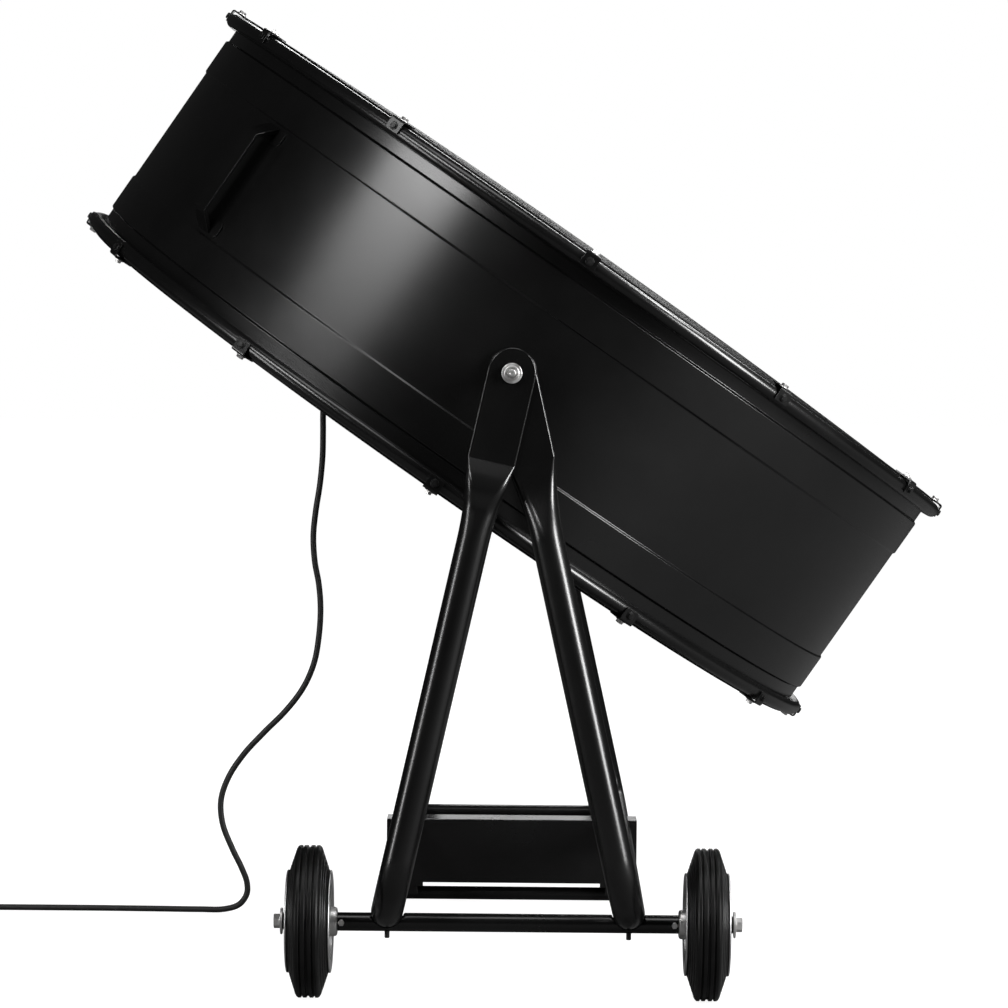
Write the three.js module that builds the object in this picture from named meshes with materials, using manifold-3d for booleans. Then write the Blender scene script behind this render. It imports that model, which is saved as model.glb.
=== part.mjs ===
// A drum fan on a wheeled stand: an open steel drum with a wire grille at each end, a motor
// and three-bladed rotor on struts inside it, and two bent tube loops that carry the drum
// on one tilting axis over an axle with two wheels and a foot.
// Millimetres. X to the right, Y away from the near side, Z up. The origin is on the floor
// under the middle of the tilting axis.

import * as THREE from 'three';
import { mergeVertices } from 'three/addons/utils/BufferGeometryUtils.js';
import Module from 'manifold-3d';

const wasm = await Module();
wasm.setup();

// ---------------------------------------------------------------- driving dimensions

const GAP = 0.3;                      // between faces that touch or turn on each other

// drum
const PIVOT_HEIGHT = 742;
const AXIS_ELEVATION = 55.5;          // degrees, drum axis above the horizontal
const DRUM_RADIUS = 542;              // outside of the plain wall
const DRUM_WALL = 2;
const BAND_PROUD = 2;                 // raised bands beyond the plain wall
const NECK_DROP = 1;                  // neck under the plain wall
const BAND_CLEAR = 3.5;               // from a handle's feet to the band beside them
const BAND_WIDTH = 48;
const BAND_STEP = 2.5;                // length of each slanted step
const RING_PLACE = 155;               // end ring's tube centre, from the middle of the drum
const RING_TUBE = 18;
const DRUM_SIDES = 48;
const RING_SIDES = 8;

// grilles
const WIRE = 4;
const RIM_WIRE = 5;
const GRILLE_RISE = 13.5;             // dome of a grille over its rim
const RIM_WIRE_INSET = 7;             // rim wire, inwards from the ring's tube centre
const GRILLE_WIRES = 3;               // round wires inside the rim wire
const GRILLE_SPOKES = 6;
const SPOKE_TURN = 15;                // degrees from a clip to the next spoke
const SPOKE_INNER = 40;
const GRILLE_SIDES = 24;
const CENTRE_DISC_RADIUS = 62;
const CENTRE_DISC_THICK = 2;
const CLIPS_PER_RING = 12;
const CLIP_WIDTH = 20;
const CLIP_THICK = 2;
const CLIP_INWARD = 15;               // clip's reach over the grille, from the tube's centre
const CLIP_TAB = 16;                  // clip's tab down the outside of the ring
const WELD = 0.8;                     // depth to which crossing wires are welded together

// carrying handles
const HANDLE_ANGLE = 138;             // degrees round the drum from its lower end
const HANDLE_GRIP = 113;
const HANDLE_FOOT_SPAN = 153;         // over the feet
const HANDLE_HEIGHT = 27;
const HANDLE_STRAP = 24;
const HANDLE_THICK = 4;
const HANDLE_FOOT_WIDTH = 52;
const HANDLE_FOOT_LENGTH = 20;

// stand
const LEG_CLEAR = 50;                 // from the drum's wall to the tube centre of the legs
const LEG_PLANE = DRUM_RADIUS + LEG_CLEAR;
const LEG_TUBE = 38;
const LEG_WALL = 1.8;
const LEG_SPREAD = 143;               // floor run's tube centre, from the middle
const LEG_RUN_HEIGHT = 103.5;         // floor run's tube centre over the floor
const LEG_BEND = 75;                  // bend radius at the tube's centre
const LEG_FLAT_WIDTH = 62;
const LEG_FLAT_THICK = 5;
const LEG_FLAT_LENGTH = 105;          // below the tilting axis
const LEG_SHOULDER = 94;              // from flat to round
const LEG_SIDES = 10;
const LEG_BEND_STEPS = 5;

// wheels and the two cross tubes
const WHEEL_RADIUS = 90;
const CROSS_TUBE = 22;
const CROSS_HEIGHT = 90;
const WHEEL_PLACE = 235.2;            // tyre's middle plane from the middle of the fan
const TYRE_WIDTH = 48;
const TYRE_SIDE_RADIUS = 62;
const TYRE_SHOULDER_WIDTH = 39;
const TYRE_CROWN_WIDTH = 23;
const TYRE_BORE_RADIUS = 50;
const WHEEL_SIDES = 24;
const RIM_FLANGE_RADIUS = 61;
const RIM_FLANGE_THICK = 2.4;
const RIM_BARREL_THICK = 3.5;
const RIM_DISC_THICK = 4;
const RIM_SIDES = 16;
const HUB_RADIUS = 17.5;
const HUB_INNER_REACH = 33.4;         // from the tyre's middle plane towards the stand
const HUB_OUTER_REACH = 28.2;
const AXLE_STUB = 3;                  // axle beyond the hub
const END_WASHER_RADIUS = 15.8;
const END_WASHER_THICK = 2.6;
const END_BOLT_FLATS = 15;
const END_BOLT_HEAD = 8;
const LOCK_BOLT_RADIUS = 3.6;
const LOCK_BOLT_HEAD = 3.4;
const FAR_CROSSBAR_LENGTH = 320;
const FRAME_BOLT = 6;
const FRAME_BOLT_HEAD_RADIUS = 6.5;
const FRAME_BOLT_HEAD = 5;
const FRAME_BOLT_TAIL = 8;            // below the cross tube

// foot
const FOOT_PLACE = 267;               // middle of the foot behind the tilting axis
const FOOT_LENGTH = 342;
const FOOT_DEPTH = 54;
const FOOT_TOP = 115;
const FOOT_BOTTOM = 22.5;
const FOOT_SHEET = 2.5;
const FOOT_RAIL = 18;
const FOOT_RAIL_LENGTH = 342;
const FOOT_RAIL_CLEAR = 1.2;          // rail over the floor
const BRACKET_THICK = 15;
const BRACKET_INSET = 35;             // bracket's middle from the rail's end
const BRACKET_HEIGHT = 46;
const PAD_LENGTH = 22;
const PAD_WIDTH = 26;
const PAD_HEIGHT = 23;

// pivots
const PIVOT_BOLT = 10;
const PIVOT_HEAD_RADIUS = 9.5;
const PIVOT_HEAD = 6.5;
const SPACER_RADIUS = 16;
const SPACER_FLANGE_RADIUS = 29;
const SPACER_FLANGE = 5;
const NUT_FLANGE_RADIUS = 12;
const NUT_FLANGE = 2.2;
const NUT_RADIUS = 8.8;
const NUT_HEIGHT = 9;
const PIVOT_BOLT_TAIL = 2;            // bolt's end beyond its nut

// motor and its struts
const STRUT_PLACE = 104;              // strut's middle from the drum's axis
const STRUT_WIDTH = 24;
const STRUT_DEPTH = 20;
const STRUT_WALL = 2;
const STRUT_AXIAL = -70;
const STRUT_WALL_GAP = 0.4;
const PLATE_THICK = 4;
const PLATE_LENGTH = 190;
const MOTOR_RADIUS = 84;
const MOTOR_REAR = -136;
const MOTOR_FRONT = -12;
const MOTOR_COVER = 14;
const MOTOR_SIDES = 20;
const SHAFT_RADIUS = 9.5;
const SHAFT_FRONT = 84;
const MOTOR_LEAD = 6;

// rotor
const ROTOR_AXIAL = 38;
const HUB_BOSS_RADIUS = 40;
const HUB_BOSS_LENGTH = 50;
const ARM_THICK = 5;
const ARM_SHARE = 0.5;                // of the blade's chord that an arm covers
const ARM_ROOTED = 8;                 // arm's root inside the boss
const BLADE_COUNT = 3;
const BLADE_ROOT = 80;
const BLADE_TIP = 520;
const BLADE_ROOT_CHORD = 150;
const BLADE_TIP_CHORD = 330;
const BLADE_ROOT_PITCH = 30;
const BLADE_TIP_PITCH = 15;
const BLADE_CAMBER = 0.07;            // of the chord
const BLADE_THICK = 2.4;
const BLADE_SWEEP = 16;               // degrees that the tip leans forward
const BLADE_STATIONS = 7;
const BLADE_STEPS = 4;

// switch
const SWITCH_PLACE = [-180, 144];     // on the drum's face, from its axis
const SWITCH_SIZE = [58, 92, 36];
const KNOB_PLACE = [-175, 165];
const KNOB_RADIUS = 18;
const KNOB_HEIGHT = 20;
const KNOB_REACH = 187;               // knob's end, behind the middle of the drum
const KNOB_STEM_RADIUS = 6;
const GLAND_PLACE = [-185, 126];
const GLAND_RADIUS = 9;
const GLAND_TIP_RADIUS = 6;
const GLAND_LENGTH = 26;

// power cord; its route's points are chosen by hand
const CORD = 8;
const CORD_SIDES = 8;
const CORD_STEPS = 56;
const CORD_ROUTE = [
  [-233.4, 126, 729],
  [-240.2, 126, 719.1],
  [-246.4, 126, 709.6],
  [-251.3, 126, 699.8],
  [-254.3, 126, 688.6],
  [-255.4, 126, 676],
  [-255.4, 126.5, 646],
  [-255.9, 127, 615],
  [-259.2, 127.5, 578],
  [-264.9, 128, 540],
  [-267.7, 128, 508],
  [-265.6, 128.5, 474],
  [-260.1, 129, 444],
  [-257.6, 129, 412],
  [-259.6, 129, 374],
  [-265.9, 129, 338],
  [-280, 129, 305],
  [-303, 129, 274],
  [-332, 129, 244.5],
  [-359, 129, 215],
  [-379.4, 129, 184],
  [-389.6, 129, 153],
  [-387.4, 129, 121],
  [-374.6, 129, 88],
  [-361.4, 129, 61],
  [-354.4, 129, 42],
  [-354.6, 129, 26],
  [-364.6, 129, 12],
  [-384, 129, 5.6],
  [-418, 130, 4.8],
  [-475, 132, 4.8],
  [-545, 133, 4.9],
  [-620, 132.4, 5],
  [-690, 131.2, 5.1],
  [-742, 131, 5.1],
  [-753.7, 131, 5.1],
];

// coil, its tie and the plug
const COIL_PLACE = [-762, 78.4];
const COIL_RADIUS = 44;               // middle of the coil's turns
const COIL_PITCH = 8.6;               // from turn to turn and from layer to layer
const COIL_LOW_TURNS = 2;
const COIL_HIGH_TURNS = 1.75;
const COIL_STEPS = 24;                // a turn
const COIL_TUBE_SIDES = 6;
const COIL_LIFT = 1.1;                // room for the tie under the coil
const TIE_WIDTH = 9;
const TIE_THICK = 0.8;
const PLUG_LEAD = 36;
const PLUG_RELIEF = 14;
const PLUG_LENGTH = 36;
const PLUG_WIDTH = 27;
const PIN_LENGTH = 18;
const PIN_RADIUS = 2.4;
const PIN_SPACING = 9.5;

// ---------------------------------------------------------------- materials

function paint(colour, roughness, metalness) {
  return new THREE.MeshStandardMaterial({ color: colour, roughness, metalness });
}

const LOOKS = {
  black: () => paint(0x141414, 0.35, 0.2),
  zinc: () => paint(0xb9bbbd, 0.35, 0.9),
  steel: () => paint(0x8f9296, 0.4, 0.9),
  rubber: () => paint(0x1b1b1b, 0.85, 0),
  plastic: () => paint(0x191919, 0.55, 0),
  cord: () => paint(0x151515, 0.6, 0),
  blade: () => paint(0x1a1a1b, 0.4, 0.3),
};

// ---------------------------------------------------------------- shape helpers

const RAD = Math.PI / 180;

function toSolid(geometry) {
  const bare = geometry.clone();
  bare.deleteAttribute('normal');
  bare.deleteAttribute('uv');
  const merged = mergeVertices(bare, 1e-4);
  return new wasm.Manifold(new wasm.Mesh({
    numProp: 3,
    vertProperties: new Float32Array(merged.attributes.position.array),
    triVerts: new Uint32Array(merged.index.array),
  }));
}

function toGeometry(solid) {
  const mesh = solid.getMesh();
  const geometry = new THREE.BufferGeometry();
  geometry.setAttribute('position', new THREE.BufferAttribute(mesh.vertProperties, 3));
  geometry.setIndex(new THREE.BufferAttribute(mesh.triVerts, 1));
  return geometry;
}

function cut(body, ...tools) {
  const solid = tools.reduce((rest, tool) => rest.subtract(toSolid(tool)), toSolid(body));
  return toGeometry(solid);
}

function join(...bodies) {
  const [first, ...rest] = bodies.map(toSolid);
  return toGeometry(rest.reduce((sum, body) => sum.add(body), first));
}

// a solid of revolution about Z; profile is [radius, height] pairs, outer side going up
function turned(profile, sides) {
  const points = profile.map(([r, z]) => new THREE.Vector2(r, z));
  return new THREE.LatheGeometry(points, sides).rotateX(Math.PI / 2);
}

function ringOfRevolution(profile, sides) {
  return turned([...profile, profile[0]], sides);
}

function disc(radius, low, high, sides) {
  return turned([[0, low], [radius, low], [radius, high], [0, high]], sides);
}

function box(sizeX, sizeY, sizeZ, x, y, z) {
  return new THREE.BoxGeometry(sizeX, sizeY, sizeZ).translate(x, y, z);
}

// A closed skin over rings of points that all have the same, even count. Each end is closed by
// a strip between the ring's first and second half.
function loft(rings) {
  const count = rings[0].length;
  const positions = rings.flat().flatMap((p) => [p.x, p.y, p.z]);
  const faces = [];
  for (let i = 0; i < rings.length - 1; i += 1) {
    for (let j = 0; j < count; j += 1) {
      const a = i * count + j;
      const b = i * count + ((j + 1) % count);
      faces.push(a, b, b + count);
      faces.push(a, b + count, a + count);
    }
  }
  const last = (rings.length - 1) * count;
  for (let j = 0; j < count / 2 - 1; j += 1) {
    const [a, b, c, d] = [j, j + 1, count - 2 - j, count - 1 - j];
    faces.push(a, c, b, a, d, c);
    faces.push(last + a, last + b, last + c, last + a, last + c, last + d);
  }
  const geometry = new THREE.BufferGeometry();
  geometry.setAttribute('position', new THREE.Float32BufferAttribute(positions, 3));
  geometry.setIndex(faces);
  return volumeOf(geometry) < 0 ? turnedInsideOut(geometry) : geometry;
}

function volumeOf(geometry) {
  const point = geometry.attributes.position;
  const [a, b, c] = [new THREE.Vector3(), new THREE.Vector3(), new THREE.Vector3()];
  let volume = 0;
  for (let i = 0; i < geometry.index.count; i += 3) {
    a.fromBufferAttribute(point, geometry.index.getX(i));
    b.fromBufferAttribute(point, geometry.index.getX(i + 1));
    c.fromBufferAttribute(point, geometry.index.getX(i + 2));
    volume += a.dot(b.cross(c)) / 6;
  }
  return volume;
}

function turnedInsideOut(geometry) {
  const index = geometry.index;
  for (let i = 0; i < index.count; i += 3) {
    const second = index.getX(i + 1);
    index.setX(i + 1, index.getX(i + 2));
    index.setX(i + 2, second);
  }
  return geometry;
}

// a round bar with its ends at two points
function bar(from, to, radius, sides) {
  const axis = new THREE.Vector3().subVectors(to, from);
  const along = axis.clone().normalize();
  const turn = new THREE.Quaternion().setFromUnitVectors(new THREE.Vector3(0, 0, 1), along);
  return disc(radius, 0, axis.length(), sides).applyQuaternion(turn).translate(from.x, from.y, from.z);
}

function circlePoints(centre, sideways, upwards, radius, sides) {
  return Array.from({ length: sides }, (_, j) => {
    const angle = (2 * Math.PI * j) / sides;
    return centre.clone()
      .addScaledVector(sideways, radius * Math.cos(angle))
      .addScaledVector(upwards, radius * Math.sin(angle));
  });
}

// a tube through a list of points, its sections kept upright
function tubeThrough(centres, radius, sides) {
  const up = new THREE.Vector3(0, 0, 1);
  let sideways = null;
  const rings = centres.map((centre, i) => {
    const before = centres[Math.max(i - 1, 0)];
    const after = centres[Math.min(i + 1, centres.length - 1)];
    const along = new THREE.Vector3().subVectors(after, before).normalize();
    if (!sideways) {
      const start = Math.abs(along.z) > 0.9 ? new THREE.Vector3(0, 1, 0) : up;
      sideways = new THREE.Vector3().crossVectors(start, along).normalize();
    }
    sideways.addScaledVector(along, -sideways.dot(along)).normalize();
    const upwards = new THREE.Vector3().crossVectors(along, sideways);
    return circlePoints(centre, sideways.clone(), upwards, radius, sides);
  });
  return loft(rings);
}

const fan = new THREE.Group();
const drum = new THREE.Group();       // local Z along the drum's axis, X down its face
drum.position.z = PIVOT_HEIGHT;
drum.rotation.y = (90 - AXIS_ELEVATION) * RAD;
fan.add(drum);

function place(parent, name, geometry, look) {
  const mesh = new THREE.Mesh(geometry, LOOKS[look]());
  mesh.name = name;
  parent.add(mesh);
}

// ---------------------------------------------------------------- drum

const BAND_INNER = HANDLE_FOOT_SPAN / 2 + BAND_CLEAR;      // from the middle of the drum
const BAND_OUTER = BAND_INNER + BAND_WIDTH;
const BAND_RADIUS = DRUM_RADIUS + BAND_PROUD;
const NECK_RADIUS = DRUM_RADIUS - NECK_DROP;
const RING_RADIUS = NECK_RADIUS + GAP + RING_TUBE / 2;     // ring's tube centre
const DRUM_INSIDE = NECK_RADIUS - DRUM_WALL;
const DRUM_HALF = RING_PLACE + RING_TUBE / 2 - BAND_STEP;  // the wall ends inside the rings
const BOLT_SIDES = 8;
// to the hole's corners, so that the bolt's corners turn clear of its flats
const PIVOT_HOLE = (PIVOT_BOLT / 2 + GAP) / Math.cos(Math.PI / BOLT_SIDES);

function drumShell() {
  const upper = [
    [DRUM_RADIUS, BAND_INNER],
    [BAND_RADIUS, BAND_INNER + BAND_STEP],
    [BAND_RADIUS, BAND_OUTER],
    [NECK_RADIUS, BAND_OUTER + BAND_STEP],
    [NECK_RADIUS, DRUM_HALF],
  ];
  const outside = [...upper.map(([r, z]) => [r, -z]).reverse(), ...upper];
  const inside = outside.map(([r, z]) => [r - DRUM_WALL, z]).reverse();
  const wall = ringOfRevolution([...outside, ...inside], DRUM_SIDES);
  const reach = BAND_RADIUS + GAP;
  const throughBolts = disc(PIVOT_HOLE, -reach, reach, BOLT_SIDES).rotateX(Math.PI / 2);
  return cut(wall, throughBolts);
}

function endRing(side) {
  const section = Array.from({ length: RING_SIDES }, (_, j) => {
    const angle = (2 * Math.PI * j) / RING_SIDES;
    return [
      RING_RADIUS + (RING_TUBE / 2) * Math.cos(angle),
      side * RING_PLACE + (RING_TUBE / 2) * Math.sin(angle),
    ];
  });
  return ringOfRevolution(section, DRUM_SIDES);
}

place(drum, 'drum_shell', drumShell(), 'black');
place(drum, 'front_ring', endRing(1), 'black');
place(drum, 'rear_ring', endRing(-1), 'black');

// ---------------------------------------------------------------- grilles with their clips

const RIM_RADIUS = RING_RADIUS - RIM_WIRE_INSET;
const RIM_SEAT = RING_TUBE / 2 + RIM_WIRE / 2 + GAP;
const RIM_HEIGHT = RING_PLACE + Math.sqrt(RIM_SEAT ** 2 - RIM_WIRE_INSET ** 2);
const WIRE_SPACING = (RIM_RADIUS - CENTRE_DISC_RADIUS) / (GRILLE_WIRES + 0.5);

function domeHeight(radius) {
  return RIM_HEIGHT + GRILLE_RISE * (1 - (radius / RIM_RADIUS) ** 2);
}

function roundWire(radius, height, thickness) {
  const half = thickness / 2;
  const section = [
    [radius, height - half],
    [radius + half, height],
    [radius, height + half],
    [radius - half, height],
  ];
  return ringOfRevolution(section, GRILLE_SIDES);
}

// a spoke runs under the round wires and comes up to butt against the rim wire
function grilleSpoke(angle) {
  const under = WIRE - WELD;
  const outward = new THREE.Vector3(Math.cos(angle), Math.sin(angle), 0);
  const crossings = [SPOKE_INNER, RIM_RADIUS / 2, RIM_RADIUS - WIRE_SPACING];
  const stations = crossings.map((r) => [r, domeHeight(r) - under]);
  stations.push([RIM_RADIUS - WELD, RIM_HEIGHT]);
  const centres = stations.map(([r, z]) => outward.clone().multiplyScalar(r).setZ(z));
  return tubeThrough(centres, WIRE / 2, 4);
}

const CLIP_SEAT = RIM_HEIGHT + RIM_WIRE / 2 - WELD / 2;
const CLIP_OUTSIDE = RING_RADIUS + RING_TUBE / 2 + GAP;

// a clip holds the rim wire down and hooks over the outside of the ring
function clip(angle) {
  const outline = new THREE.Shape([
    [RING_RADIUS - CLIP_INWARD, CLIP_SEAT],
    [CLIP_OUTSIDE, CLIP_SEAT],
    [CLIP_OUTSIDE, CLIP_SEAT - CLIP_TAB],
    [CLIP_OUTSIDE + CLIP_THICK, CLIP_SEAT - CLIP_TAB],
    [CLIP_OUTSIDE + CLIP_THICK, CLIP_SEAT + CLIP_THICK],
    [RING_RADIUS - CLIP_INWARD, CLIP_SEAT + CLIP_THICK],
  ].map(([r, z]) => new THREE.Vector2(r, z)));
  return new THREE.ExtrudeGeometry(outline, { depth: CLIP_WIDTH, bevelEnabled: false })
    .translate(0, 0, -CLIP_WIDTH / 2)
    .rotateX(Math.PI / 2)
    .rotateZ(angle);
}

function round(count, piece) {
  return Array.from({ length: count }, (_, i) => piece((2 * Math.PI * i) / count));
}

function grille(side) {
  const wires = Array.from({ length: GRILLE_WIRES }, (_, i) => {
    const radius = RIM_RADIUS - (i + 1) * WIRE_SPACING;
    return roundWire(radius, domeHeight(radius), WIRE);
  });
  const plateLow = domeHeight(SPOKE_INNER) - WIRE / 2;
  const whole = join(
    roundWire(RIM_RADIUS, RIM_HEIGHT, RIM_WIRE),
    ...wires,
    ...round(GRILLE_SPOKES, (angle) => grilleSpoke(angle + SPOKE_TURN * RAD)),
    disc(CENTRE_DISC_RADIUS, plateLow, plateLow + CENTRE_DISC_THICK, GRILLE_SIDES),
    ...round(CLIPS_PER_RING, clip),
  );
  return side > 0 ? whole : whole.rotateX(Math.PI);
}

for (const [end, side] of [['front', 1], ['rear', -1]]) {
  place(drum, `${end}_grille`, grille(side), 'black');
}

// ---------------------------------------------------------------- carrying handles

// the wall's greatest reach, along the line at an angle round the drum, under a flat foot
function wallReach(angle, halfWidth) {
  const facet = (2 * Math.PI) / DRUM_SIDES;
  const spread = Math.asin(halfWidth / DRUM_RADIUS);
  const reaches = Array.from({ length: 41 }, (_, i) => {
    const turn = spread * (i / 20 - 1);
    const onFacet = THREE.MathUtils.euclideanModulo(angle + turn, facet) - facet / 2;
    return (DRUM_RADIUS * Math.cos(facet / 2) * Math.cos(turn)) / Math.cos(onFacet);
  });
  return Math.max(...reaches);
}

// a handle is made lying on a wall that faces +X, with the drum's axis along Z
const HANDLE_SEAT = wallReach(HANDLE_ANGLE * RAD, HANDLE_FOOT_WIDTH / 2) + GAP;

function handle() {
  const foot = HANDLE_THICK / 2 + HANDLE_SEAT;
  const top = HANDLE_SEAT + HANDLE_HEIGHT;
  const outline = new THREE.Shape([
    [HANDLE_SEAT, HANDLE_FOOT_SPAN / 2 - HANDLE_THICK],
    [HANDLE_SEAT, HANDLE_FOOT_SPAN / 2],
    [foot, HANDLE_FOOT_SPAN / 2],
    [top, HANDLE_GRIP / 2],
    [top, -HANDLE_GRIP / 2],
    [foot, -HANDLE_FOOT_SPAN / 2],
    [HANDLE_SEAT, -HANDLE_FOOT_SPAN / 2],
    [HANDLE_SEAT, HANDLE_THICK - HANDLE_FOOT_SPAN / 2],
    [top - HANDLE_THICK, HANDLE_THICK - HANDLE_GRIP / 2],
    [top - HANDLE_THICK, HANDLE_GRIP / 2 - HANDLE_THICK],
  ].map(([r, z]) => new THREE.Vector2(r, z)));
  const strap = new THREE.ExtrudeGeometry(outline, { depth: HANDLE_STRAP, bevelEnabled: false })
    .translate(0, 0, -HANDLE_STRAP / 2)
    .rotateX(Math.PI / 2);
  const feet = [1, -1].map((end) => box(
    HANDLE_THICK / 2,
    HANDLE_FOOT_WIDTH,
    HANDLE_FOOT_LENGTH,
    HANDLE_SEAT + HANDLE_THICK / 4,
    0,
    (end * (HANDLE_FOOT_SPAN - HANDLE_FOOT_LENGTH)) / 2,
  ));
  return join(strap, ...feet);
}

for (const [name, side] of [['near', -1], ['far', 1]]) {
  place(drum, `handle_${name}`, handle().rotateZ(side * HANDLE_ANGLE * RAD), 'black');
}

// ---------------------------------------------------------------- motor on its struts

const STRUT_FRONT = STRUT_AXIAL + STRUT_DEPTH / 2;
const STRUT_REAR = STRUT_AXIAL - STRUT_DEPTH / 2;
const STRUT_CHORD = Math.cos(Math.PI / DRUM_SIDES) * (DRUM_RADIUS - DRUM_WALL - STRUT_WALL_GAP);
const STRUT_HALF = Math.sqrt(STRUT_CHORD ** 2 - (STRUT_PLACE + STRUT_WIDTH / 2) ** 2);

// a square tube, open at both ends
function motorStrut() {
  const wall = 2 * STRUT_WALL;
  const outside = box(2 * STRUT_HALF, STRUT_WIDTH, STRUT_DEPTH, 0, 0, STRUT_AXIAL);
  const inside = box(2 * STRUT_HALF + wall, STRUT_WIDTH - wall, STRUT_DEPTH - wall, 0, 0, STRUT_AXIAL);
  return cut(outside, inside);
}

for (const [name, side] of [['near', -1], ['far', 1]]) {
  place(drum, `motor_strut_${name}`, motorStrut().translate(0, side * STRUT_PLACE, 0), 'black');
}

const PLATE_WIDTH = 2 * STRUT_PLACE + STRUT_WIDTH;
const PLATE_FRONT_LOW = STRUT_FRONT + GAP;
const PLATE_REAR_LOW = STRUT_REAR - GAP - PLATE_THICK;

function mountPlate(low) {
  const plate = box(PLATE_LENGTH, PLATE_WIDTH, PLATE_THICK, 0, 0, low + PLATE_THICK / 2);
  return cut(plate, disc(MOTOR_RADIUS + GAP, low - GAP, low + PLATE_THICK + GAP, MOTOR_SIDES));
}

place(drum, 'motor_plate_front', mountPlate(PLATE_FRONT_LOW), 'black');
place(drum, 'motor_plate_rear', mountPlate(PLATE_REAR_LOW), 'black');

const BORE = SHAFT_RADIUS + GAP;
const BODY_FRONT = MOTOR_FRONT - MOTOR_COVER;
const BODY_REAR = MOTOR_REAR + MOTOR_COVER;

function motorBody() {
  const shoulder = 3;
  return turned([
    [0, BODY_REAR],
    [MOTOR_RADIUS - shoulder, BODY_REAR],
    [MOTOR_RADIUS, BODY_REAR + shoulder],
    [MOTOR_RADIUS, BODY_FRONT - shoulder],
    [MOTOR_RADIUS - shoulder, BODY_FRONT],
    [0, BODY_FRONT],
  ], MOTOR_SIDES);
}

function motorFrontCover() {
  const low = BODY_FRONT + GAP;
  const boss = 30;
  return ringOfRevolution([
    [BORE, low],
    [MOTOR_RADIUS - 5, low],
    [MOTOR_RADIUS - 8, low + MOTOR_COVER / 2],
    [boss, low + MOTOR_COVER / 2 + 2],
    [boss - 4, low + MOTOR_COVER],
    [BORE, low + MOTOR_COVER],
  ], MOTOR_SIDES);
}

function motorRearCover() {
  const high = BODY_REAR - GAP;
  return turned([
    [0, high - MOTOR_COVER],
    [38, high - MOTOR_COVER],
    [MOTOR_RADIUS - 8, high - MOTOR_COVER / 2],
    [MOTOR_RADIUS - 5, high],
    [0, high],
  ], MOTOR_SIDES);
}

place(drum, 'motor_body', motorBody(), 'plastic');
place(drum, 'motor_front_cover', motorFrontCover(), 'steel');
place(drum, 'motor_rear_cover', motorRearCover(), 'steel');

// ---------------------------------------------------------------- rotor

const SHAFT_LOW = BODY_FRONT + 2 * GAP;
const HUB_LOW = ROTOR_AXIAL - HUB_BOSS_LENGTH / 2;

// A point of a blade's sheet: s runs over the chord from 0 to 1, lift is off its middle.
function onBlade(angle, radius, s, lift) {
  const t = (radius - BLADE_ROOT) / (BLADE_TIP - BLADE_ROOT);
  const chord = THREE.MathUtils.lerp(BLADE_ROOT_CHORD, BLADE_TIP_CHORD, Math.sin((t * Math.PI) / 2));
  const pitch = THREE.MathUtils.lerp(BLADE_ROOT_PITCH, BLADE_TIP_PITCH, t) * RAD;
  const along = chord * (s - 0.5);
  const bulge = 4 * BLADE_CAMBER * chord * s * (1 - s) + lift;
  const turn = angle + BLADE_SWEEP * RAD * t * t
    + (along * Math.cos(pitch) - bulge * Math.sin(pitch)) / radius;
  const height = ROTOR_AXIAL + along * Math.sin(pitch) + bulge * Math.cos(pitch);
  return new THREE.Vector3(radius * Math.cos(turn), radius * Math.sin(turn), height);
}

function bladeSheet(angle, radii, sRange, lifts, steps) {
  const across = Array.from({ length: steps + 1 }, (_, j) => (
    THREE.MathUtils.lerp(sRange[0], sRange[1], j / steps)
  ));
  return loft(radii.map((radius) => [
    ...across.map((s) => onBlade(angle, radius, s, lifts[1])),
    ...across.slice().reverse().map((s) => onBlade(angle, radius, s, lifts[0])),
  ]));
}

const BLADE_RADII = Array.from({ length: BLADE_STATIONS }, (_, i) => (
  THREE.MathUtils.lerp(BLADE_ROOT, BLADE_TIP, i / (BLADE_STATIONS - 1))
));

function blade(angle) {
  return bladeSheet(angle, BLADE_RADII, [0, 1], [-BLADE_THICK / 2, BLADE_THICK / 2], BLADE_STEPS);
}

// a boss with one arm under each blade, bent like the blade's own sheet
function fanHub() {
  const boss = ringOfRevolution([
    [BORE, HUB_LOW],
    [HUB_BOSS_RADIUS, HUB_LOW],
    [HUB_BOSS_RADIUS, HUB_LOW + HUB_BOSS_LENGTH],
    [BORE, HUB_LOW + HUB_BOSS_LENGTH],
  ], MOTOR_SIDES);
  const armRadii = [HUB_BOSS_RADIUS - ARM_ROOTED, ...BLADE_RADII.slice(0, 2)];
  const share = [0.5 - ARM_SHARE / 2, 0.5 + ARM_SHARE / 2];
  const arms = round(BLADE_COUNT, (angle) => bladeSheet(angle, armRadii, share, [-ARM_THICK, 0], 2));
  const seatLow = -BLADE_THICK / 2 - GAP;
  const seatRadii = [BLADE_ROOT - ARM_ROOTED, ...BLADE_RADII];
  const seats = round(BLADE_COUNT, (angle) => (
    bladeSheet(angle, seatRadii, [0, 1], [seatLow, BLADE_THICK * 2], BLADE_STEPS)
  ));
  return cut(join(boss, ...arms), ...seats);
}

place(drum, 'motor_shaft', disc(SHAFT_RADIUS, SHAFT_LOW, SHAFT_FRONT, 16), 'steel');
place(drum, 'fan_hub', fanHub(), 'steel');
for (let i = 0; i < BLADE_COUNT; i += 1) {
  place(drum, `blade_${i + 1}`, blade((2 * Math.PI * i) / BLADE_COUNT), 'blade');
}

// ---------------------------------------------------------------- switch

const SWITCH_FRONT = STRUT_REAR - GAP;
const SWITCH_REAR = SWITCH_FRONT - SWITCH_SIZE[2];

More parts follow.
